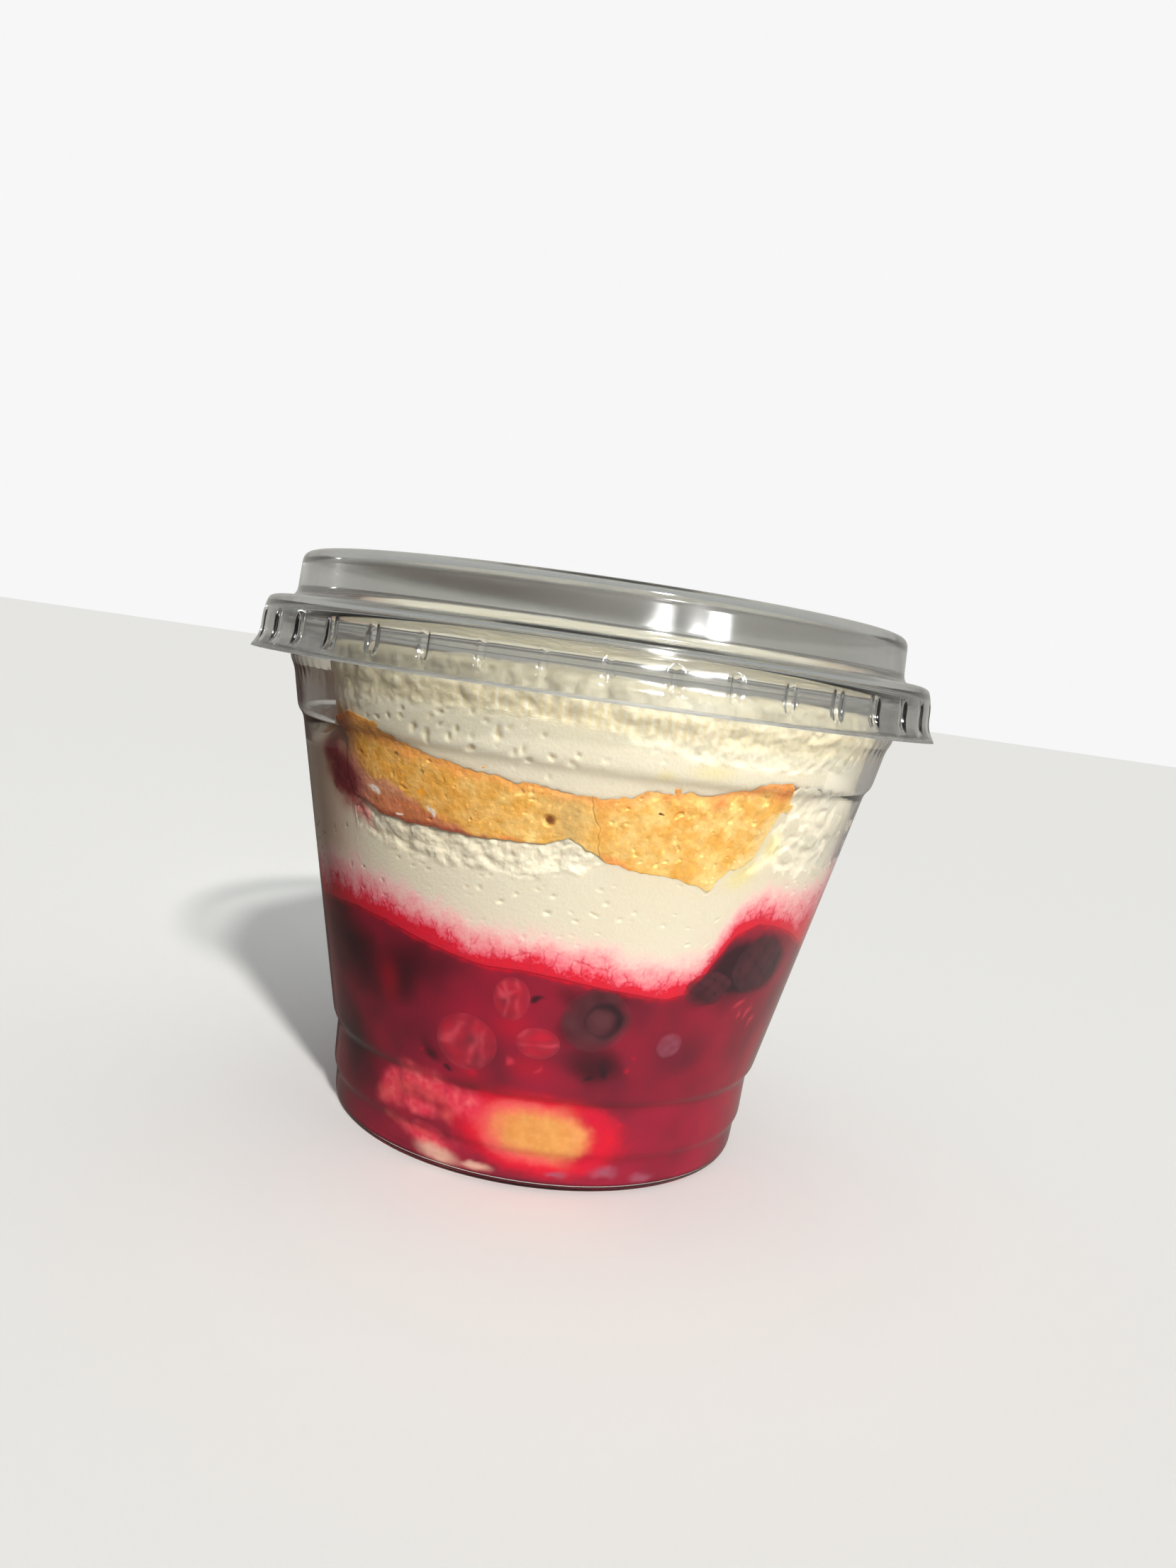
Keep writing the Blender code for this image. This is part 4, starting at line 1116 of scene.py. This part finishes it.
RED_BITS = [
    (21, 19.2, 0.36, 0.75, 15), (19.9, 17.4, 0.45, 0.4), (-28.5, 15.8, 0.55, 0.4),
    (-15.2, 14.4, 1.1, 0.9), (-0.2, 16.4, 1.25, 0.42, 48), (-6.6, 17.1, 0.6, 0.85, 20),
    (46.2, 26.2, 1.9, 0.55, 25), (50.5, 24.6, 0.55, 1.5, -25), (53.5, 23.2, 1.2, 0.5, 60),
    (47.5, 24.4, 0.5, 1), (22, 9.5, 1, 0.6)
]
BERRY_MASS = [
    (48.8, 31.7, 6.6, 4.7, -12), (40.5, 31.6, 5, 3.8, 35), (36, 29.2, 3.8, 2.1, 25), (44, 29.8, 8, 2.6)
]
CRUMB_HAZE = [
    (-29.5, 7.8, 3.8, 1.8, -15), (-27.5, 11.4, 6.4, 2.9, -8), (-17.5, 9.8, 4.6, 3, -20),
    (-37.5, 9, 3.4, 3.8, 10), (-27, 4.2, 6, 1.8, -6)
]
# Pale and lilac patches at the base: bits seen through the foot, and partly painted reflection.
PALE_PATCHES = [(-22.5, 2.1, 4.6, 1.7, -6), (-13, 2, 2.4, 0.8)]
LILAC_PATCHES = [(20, 2.9, 2.8, 1.2), (31, 2, 2.4, 0.9), (8, 2.4, 2, 0.7)]
CORE = (2.4, 7.6, 7.9, 4.0, -7.0)


def front_azimuth(points):
    """The azimuth of points, those behind taken to the front: y -> -|y|."""
    return np.degrees(np.arctan2(points[..., 0], np.abs(points[..., 1])))


def core_distance(points):
    """How far a point on the wall is from the soaked sponge's core, before or behind, in its half sizes."""
    middle, level, wide, tall, tilt = CORE
    across = (front_azimuth(points) - middle) * np.radians(wall(level))
    up = points[..., 2] - level - across * np.sin(np.radians(tilt)) * 0.5
    squared = (np.abs(across) / wide) ** 2.2 + (np.abs(up) / tall) ** 2.2
    return squared ** (1 / 2.2) + (0.07 * grain(points, 1.6, 43) + 0.05 * grain(points, 0.6, 44))


def compote_tone(points):
    """Crimson clouded with maroon, brighter along its top and round the soaked sponge, with the sunk bits."""
    azimuth, height = azimuth_of(points), points[..., 2]
    clouds = 0.5 + 0.55 * grain(points, 8, 50) + 0.25 * grain(points, 3, 51)
    wander = azimuth + 3.0 * grain(points, 5, 56)
    depth = compote_line(azimuth) - height + 0.30 * grain(points, 1.2, 52) + 0.2 * grain(points, 0.5, 53)
    reach = 0.55 + 1.1 * ease(apart(azimuth, 0), 62, 90) * (1 + grain(points, 5, 15))
    shaken = azimuth + 0.9 * grain(points, 1.3, 54)
    level = height + 0.4 * grain(points, 1.1, 55)
    haze = spots(wander, height + 0.9 * grain(points, 2.4, 58), CRUMB_HAZE, 1)
    return tinted(
        COMPOTE_CRIMSON, (COMPOTE_MAROON, clouds),
        # murk, and painted shade on the left
        (COMPOTE_DARK, 0.9 * spots(wander, height + 1.4 * grain(points, 4, 57), MURK_AND_SHADE_ZONES, 0.95)),
        (COMPOTE_BRIGHT, 0.30 * spots(azimuth, height, BRIGHT_ZONES, 1)),
        (COMPOTE_BRIGHT, 0.82 * ease(1.62 - core_distance(points), 0, 0.55)),
        (COMPOTE_BRIGHT, 1.1 * bell((depth - 0.15).clip(0.0), reach)),
        (DARK_FLESH, 0.95 * spots(azimuth + 1.2 * grain(points, 2, 54), level, BERRY_MASS, 0.4)),
        (HAZE_ROSE, 1.5 * haze),
        (HAZE_PINK, haze * (0.3 + 1.0 * grain(points, 1.3, 47) + 0.5 * grain(points, 0.6, 46))),
        (FRUIT_FLESH, 0.8 * spots(shaken, level, RED_BITS, 0.9)),
        (FRUIT_SKIN_LINE, 0.45 * spots(shaken, level, RED_BITS[4:10], 1)),
        (DARK_FLESH, 0.95 * spots(shaken, level, DARK_BITS, 0.7)),
        (BASE_LILAC, 0.8 * spots(shaken, level, LILAC_PATCHES, 0.9)),
        (BASE_PALE, 1.2 * spots(wander, level, PALE_PATCHES, 1)))


def compote_rings():
    """The syrup against the wall, closed by a gently uneven top and a bottom that follows the cup's floor."""
    azimuth = all_round(COMPOTE_AROUND)
    high = compote_line(azimuth) + 0.35
    height = COMPOTE_LOW_Z + (high - COMPOTE_LOW_Z) * np.linspace(0.0, 1.0, COMPOTE_RINGS[1])[:, None]
    side = place(azimuth, wall(height) + COMPOTE_REACH, height)

    def floor(points, share):
        return np.interp(np.hypot(points[..., 0], points[..., 1]), FLOOR[:, 0], FLOOR[:, 1]) - COMPOTE_REACH

    bottom = face_rings(side[0], COMPOTE_RINGS[0], floor)[::-1]
    return np.concatenate([bottom, side, settled_rings(side[-1], COMPOTE_RINGS[2], BAND_UNDER_Z, 0.5)])


compote_material = food_material("berry_compote", (420.0, 1900.0, 0.10), 0.35, 0.03, 0.10, (1.0, 0.1, 0.1),
                                 0.002, 0.12)
compote = compote_rings()
skin("compote", compote, compote_material, "berry_compote", "berry_compote", tone=compote_tone(compote))


# The soaked sponge at the bottom: two pieces of the same cake standing on the floor, yellow only in the
# middle of the shown one and red towards every edge where the juice has gone in, so they fade into the syrup.
SOAKED_REACH = 0.11
SOAKED_LOW_Z = 1.3
SOAKED_RINGS = (50, 40)
SOAKED_CORE = (0.64, 0.30, 0.080)
SOAKED_PALE = (0.72, 0.41, 0.135)
SOAKED_PINK = (0.74, 0.105, 0.110)
SOAKED_RED = (0.54, 0.005, 0.036)
SOAKED_DEEP = (0.34, 0.012, 0.032)
BOTTOM_SPONGES = {
    "sponge_bottom_front": (
        (-19.6, 24.5), [(-20, 12), (-9, 13.6), (1, 14.2), (11, 13.6), (17, 12.4), (24.5, 9.5)]
    ),
    "sponge_bottom_left": ((-47, -16.5), [(-47, 8.5), (-41, 10.4), (-32, 12), (-23, 12.2), (-16, 11.4)]),
}
SOAKED_SHADE = [(-21.5, 8.4, 2, 1.2, -30), (-33, 6, 2.6, 1)]
PINK_ZONES = [
    (-40.5, 7.6, 2.6, 1.9, 20), (-33, 9.4, 5.6, 1.6, 6), (-25, 9.6, 3.6, 1.7, -10),
    (-21, 7.8, 2.4, 1.5, -28), (-38, 5, 2, 1), (-27, 4.4, 3.2, 0.9, -10)
]


def bottom_sponge_places(ends, top):
    """Puts the unit square on the wall between the floor and the piece's top line, its crumb a bit open."""
    def places(across, up, behind):
        azimuth = sum(ends) / 2 + (ends[1] - ends[0]) / 2 * across
        crest = np.interp(azimuth, *zip(*top))
        azimuth = 180.0 - azimuth if behind else azimuth
        crest = crest + 0.3 * grain(place(azimuth, 30.0, 0.0), 2, 40)
        height = SOAKED_LOW_Z + (crest - SOAKED_LOW_Z) * (up + 1) / 2
        flat = place(azimuth, wall(height), height)
        rim = ease(np.maximum(np.abs(across), np.abs(up)), 0.8, 1)
        crumb = 0.012 * (1 + grain(flat, 0.9, 41)) * (1 - rim)
        return place(azimuth, wall(height) + SOAKED_REACH - crumb - 0.10 * rim, height)
    return places


def soaked_tone(rings, spread, left_piece):
    """Yellow in the core, then pink and red outwards; the left piece red, with rose crumb along its top."""
    azimuth, height = front_azimuth(rings), rings[..., 2]
    away = core_distance(rings)
    syrup = compote_tone(rings)
    if left_piece:
        rose = 0.5 * spots(azimuth, height, PINK_ZONES, 1) * (1 + grain(rings, 1.1, 45))
        return tinted(syrup, (SOAKED_DEEP, 0.7 * spots(azimuth, height, SOAKED_SHADE, 1)),
                      (SOAKED_PINK, rose), (syrup, ease(spread, 0.80, 0.97)))
    side = ease(azimuth, 2, 14)
    return tinted(
        SOAKED_CORE, (SOAKED_PALE, 0.35 + 0.6 * grain(rings, 1.8, 48) + 0.3 * grain(rings, 0.8, 82)),
        (SOAKED_PINK, ease(away, 0.42, 0.98) * (1 - 0.6 * side)),
        (syrup, ease(away, 0.90, 1.25) * (1 - side)),
        (SOAKED_RED, ease(away, 0.62, 1.02) * side), (syrup, ease(spread, 0.52, 0.82)))


soaked_material = food_material("soaked_sponge", (700.0, 2200.0, 0.16), 0.36, 0.06, 0.10, (1.0, 0.2, 0.15),
                                0.002, 0.14)
GROWN, SHRUNK = np.linspace(0.0, 1.0, SOAKED_RINGS[0] + 1), np.linspace(1.0, 0.0, SOAKED_RINGS[1] + 1)
SPREAD = np.concatenate([GROWN, np.ones(RUN_RINGS), SHRUNK])[:, None]
for node, (ends, top) in BOTTOM_SPONGES.items():
    rings = block_rings(bottom_sponge_places(ends, top), 20.0, 11.0, *SOAKED_RINGS)
    tone = soaked_tone(rings, SPREAD + 0.10 * grain(rings, 2, 49), "left" in node)
    skin(node.replace("sponge", "cake"), rings, soaked_material, node, "soaked_sponge", tone=tone)


# The fruit at the wall: redcurrants and a blueberry, round and pressed flat where they touch it, and dark
# compound berries whose drupelets each touch it. Their edges fade into the cloudy syrup.
FRUIT_REACH = 0.13
SMEARED_REACH = 0.092
PRESS = 0.35
FRUIT = {
    "redcurrant_large": (-17, 18.4, 5.2, 3.9, 4.7, "redcurrant_skin"),
    "redcurrant_upper": (-7.6, 25.3, 2.9, 2.5, 3.6, "redcurrant_skin"),
    "redcurrant_small": (-1, 20, 3.5, 2.4, 2.6, "redcurrant_skin"),
    "redcurrant_pale": (28.9, 20.9, 2.3, 2.1, 2.2, "redcurrant_skin"),
    "blueberry": (10.6, 23.8, 5.6, 4.6, 5.2, "blueberry_skin"),
    "dark_berry_right": (47.5, 31.6, 6.1, 4.7, 5.2, "dark_berry_skin"),
    "dark_berry_right_low": (34.8, 28.6, 5, 3.8, 3.1, "dark_berry_skin"),
    "dark_berry_left": (-49.5, 48.2, 5, 4.4, 3.9, "dark_berry_skin"),
}
SKIN_LINES = {
    "redcurrant_large": [
        ((-0.92, -0.4), (-1, 0.5), (-0.33, 0.9)), ((-0.33, 0.9), (0.3, 0.95), (0.85, 0.45)),
        ((-0.85, -0.2), (-0.45, 0), (-0.15, 0.5)), ((0.33, 0.8), (0.22, 0.2), (0.05, -0.6)),
        ((0.5, 0.6), (0.36, 0), (0.55, -0.6)), ((-0.5, -0.6), (0, -0.95), (0.6, -0.75))
    ],
    "redcurrant_upper": [
        ((-0.85, -0.4), (-0.95, 0.65), (-0.1, 0.92)), ((0.1, 0.7), (0.35, 0), (0.2, -0.9)),
        ((-0.35, 0.5), (-0.1, -0.1), (-0.2, -0.7)), ((0.75, 0.5), (0.9, -0.2), (0.5, -0.8)),
        ((-0.6, 0.3), (-0.3, 0.1), (0.25, 0.25))
    ],
    "redcurrant_small": [
        ((-0.85, -0.25), (0, -0.05), (0.85, 0)), ((-0.8, 0.3), (0, 0.95), (0.8, 0.5)),
        ((-0.6, -0.55), (0.1, -0.95), (0.8, -0.4))
    ],
    "redcurrant_pale": [((-0.6, 0.2), (0, 0.6), (0.6, 0.2))],
}
BLUE_FLESH = (0.075, 0.014, 0.024)
BLUE_RING = (0.018, 0.006, 0.012)
BLUE_CROWN = (0.125, 0.034, 0.046)
BERRY_DEEP = (0.042, 0.008, 0.015)
# Painted highlight for the middle of each drupelet.
BERRY_PAINTED_SHINE = (0.088, 0.017, 0.029)
SMEAR_DEEP = (0.13, 0.024, 0.034)
DRUPELETS = 70
DRUPELET_SIZE = 0.30
FRUIT_STEPS = (72, 132)


def scattered_directions(count):
    """Evenly scattered directions: equal steps in height, each turned by the golden angle from the last."""
    step = np.arange(count) + 0.5
    height = 1 - 2 * step / count
    turn = np.pi * (3 - np.sqrt(5.0)) * step
    flat = np.sqrt(1 - height ** 2)
    return np.stack([flat * np.cos(turn), flat * np.sin(turn), height], axis=-1)


def fruit_rings(azimuth, level, wide, thick, tall, clustered, reach):
    """An ellipsoid, its poles facing the wall and the axis, pulled back to the wall where it would pass it.

    A clustered berry's radius falls between its drupelets, as 1 - (distance to the nearest / its size)^2. The
    reach into the wall fades towards the rim, so that the rim lies just under the layer round it.
    """
    tilt = np.linspace(0.0, np.pi, FRUIT_STEPS[0])[:, None]
    turn = np.arange(FRUIT_STEPS[1]) * 2 * np.pi / FRUIT_STEPS[1]
    unit = np.cos(tilt), np.sin(tilt) * np.sin(turn), np.sin(tilt) * np.cos(turn)
    unit = np.stack(np.broadcast_arrays(*unit), -1)
    swell = np.ones(unit.shape[:2])
    if clustered:
        nearest = np.max(unit @ scattered_directions(DRUPELETS).T, axis=-1)
        swell = np.sqrt((1 - (np.arccos(nearest.clip(-1, 1)) / DRUPELET_SIZE) ** 2).clip(0.0))
    scaled = unit * (0.90 + 0.10 * swell)[..., None]
    outward, along, upward = place(azimuth, 1.0, 0.0), place(azimuth + 90.0, 1.0, 0.0), np.eye(3)[2]
    rings = place(azimuth, wall(level) - thick * PRESS, level) + scaled[..., :1] * thick * outward
    rings = rings + scaled[..., 1:2] * wide * along + scaled[..., 2:] * tall * upward
    reach = reach - 0.10 * ease(np.hypot(*np.moveaxis(unit[..., 1:], -1, 0)), 0.6, 0.95)
    reach = reach - clustered * 0.05 * (1 - swell)
    pull = np.minimum(1.0, (wall(rings[..., 2]) + reach) / np.hypot(rings[..., 0], rings[..., 1]))
    rings[..., :2] *= pull[..., None]
    return rings, swell


def fruit_shares(rings, azimuth, level, wide, tall):
    """Each point's place on the fruit as seen at the wall: across, up and its distance out, in half sizes."""
    across = ((azimuth_of(rings) - azimuth + 180.0) % 360.0 - 180.0) * np.radians(wall(level)) / wide
    up = (rings[..., 2] - level) / tall
    return across, up, np.hypot(across, up)


def strokes(across, up, lines, width):
    """How near each point is to any bent stroke through three places: 1 on it, falling off as a bell."""
    t = np.linspace(0.0, 1.0, 24)[:, None]
    nearest = np.full(across.shape, 9.0)
    for first, middle, last in np.asarray(lines, float):
        path = curve(t, first, 2 * middle - (first + last) / 2, last)
        gap = np.hypot(across[..., None] - path[:, 0], up[..., None] - path[:, 1]).min(axis=-1)
        nearest = np.minimum(nearest, gap)
    return bell(nearest, width)


def currant_tone(rings, name, across, up, out, swell):
    """Translucent red flesh, darker between pale bent skin lines, its rim faded into the syrup."""
    syrup = compote_tone(rings)
    bent = (across + 0.14 * grain(rings, 1.9, 67)) * 1.1
    raised = (up + 0.14 * grain(rings, 1.6, 68)) * 1.1
    lines, soft = (strokes(bent, raised, SKIN_LINES[name], width) for width in (0.10, 0.26))
    pale = (0.5 * lines + 0.2 * soft) * (0.75 + 1.1 * grain(rings, 1.8, 63)).clip(0.05)
    tone = tinted(FRUIT_FLESH, (COMPOTE_MAROON, 0.35 + 0.7 * grain(rings, 1.9, 60)),
                  (COMPOTE_MAROON, 0.5 * (soft - lines).clip(0.0)), (FRUIT_SKIN_LINE, pale))
    if name == "redcurrant_pale":
        tone = tinted(syrup, (BASE_LILAC, 0.42 + 0.3 * grain(rings, 0.9, 69)))
    return tinted(syrup, (tone, ease(0.90 - out + 0.10 * grain(rings, 1.5, 64), 0, 0.34)))


def blueberry_tone(rings, name, across, up, out, swell):
    """Dark purple flesh with the crown's ring, thicker at the upper right, round a faint lighter disc."""
    crown = np.hypot((across - 0.14) / 0.95, up - 0.02) + 0.03 * grain(rings, 1.4, 59)
    turn = np.arctan2(up, across - 0.14)
    ring = (0.70 + 0.3 * np.cos(turn - 0.6)) * bell(crown - 0.40, 0.075 + 0.045 * np.cos(turn - 0.5))
    tone = tinted(BLUE_FLESH, (BLUE_CROWN, 0.35 + 0.5 * grain(rings, 1.8, 61)), (BLUE_RING, ring),
                  (BLUE_CROWN, 0.9 * ease(0.30 - crown, 0, 0.2)))
    return tinted(compote_tone(rings), (tone, ease(0.93 - out + 0.20 * grain(rings, 2.4, 65), 0, 0.5)))


def drupelet_tone(rings, name, across, up, out, swell):
    """Near-black purple drupelets, each with a painted highlight in its middle, and red juice along the rim.
    """
    left = "left" in name
    deep, shine_colour = (SMEAR_DEEP, SMEAR_DARK) if left else (BERRY_DEEP, BERRY_PAINTED_SHINE)
    # painted highlight: each drupelet lighter in its middle, SMEAR_DARK serving for it on the left berry
    tone = tinted(deep, (shine_colour, ease(swell, 0.3, 0.95) * (0.75 + 0.9 * grain(rings, 2.6, 66))))
    if left:
        cream = smeared(rings, cream_tone(rings, np.zeros(rings.shape[:2])))
        over = ease(azimuth_of(rings), -48.5, -46.5) * (rings[..., 2] > sponge_low(azimuth_of(rings)))
        edge = tinted(cream, (sponge_tone(rings), over))
    else:
        edge = compote_tone(rings)
    return tinted(edge, (tone, ease(0.98 - out + 0.26 * grain(rings, 2.2, 62), 0, 0.8 if left else 0.55)))


FRUIT_TONES = {"redcurrant_skin": currant_tone, "blueberry_skin": blueberry_tone,
               "dark_berry_skin": drupelet_tone}
fruit_materials = {slot: food_material(slot, (600.0, 2400.0, 0.12), 0.3, 0.05, 0.1, (1.0, 0.2, 0.2), MM, 0.25)
                   for slot in FRUIT_TONES}
for node, (azimuth, level, wide, thick, tall, slot) in FRUIT.items():
    reach = SMEARED_REACH if "left" in node else FRUIT_REACH
    rings, swell = fruit_rings(azimuth, level, wide, thick, tall, slot == "dark_berry_skin", reach)
    tone = FRUIT_TONES[slot](rings, node, *fruit_shares(rings, azimuth, level, wide, tall), swell)
    skin(node + "_whole", rings, fruit_materials[slot], node, slot, tone=tone)
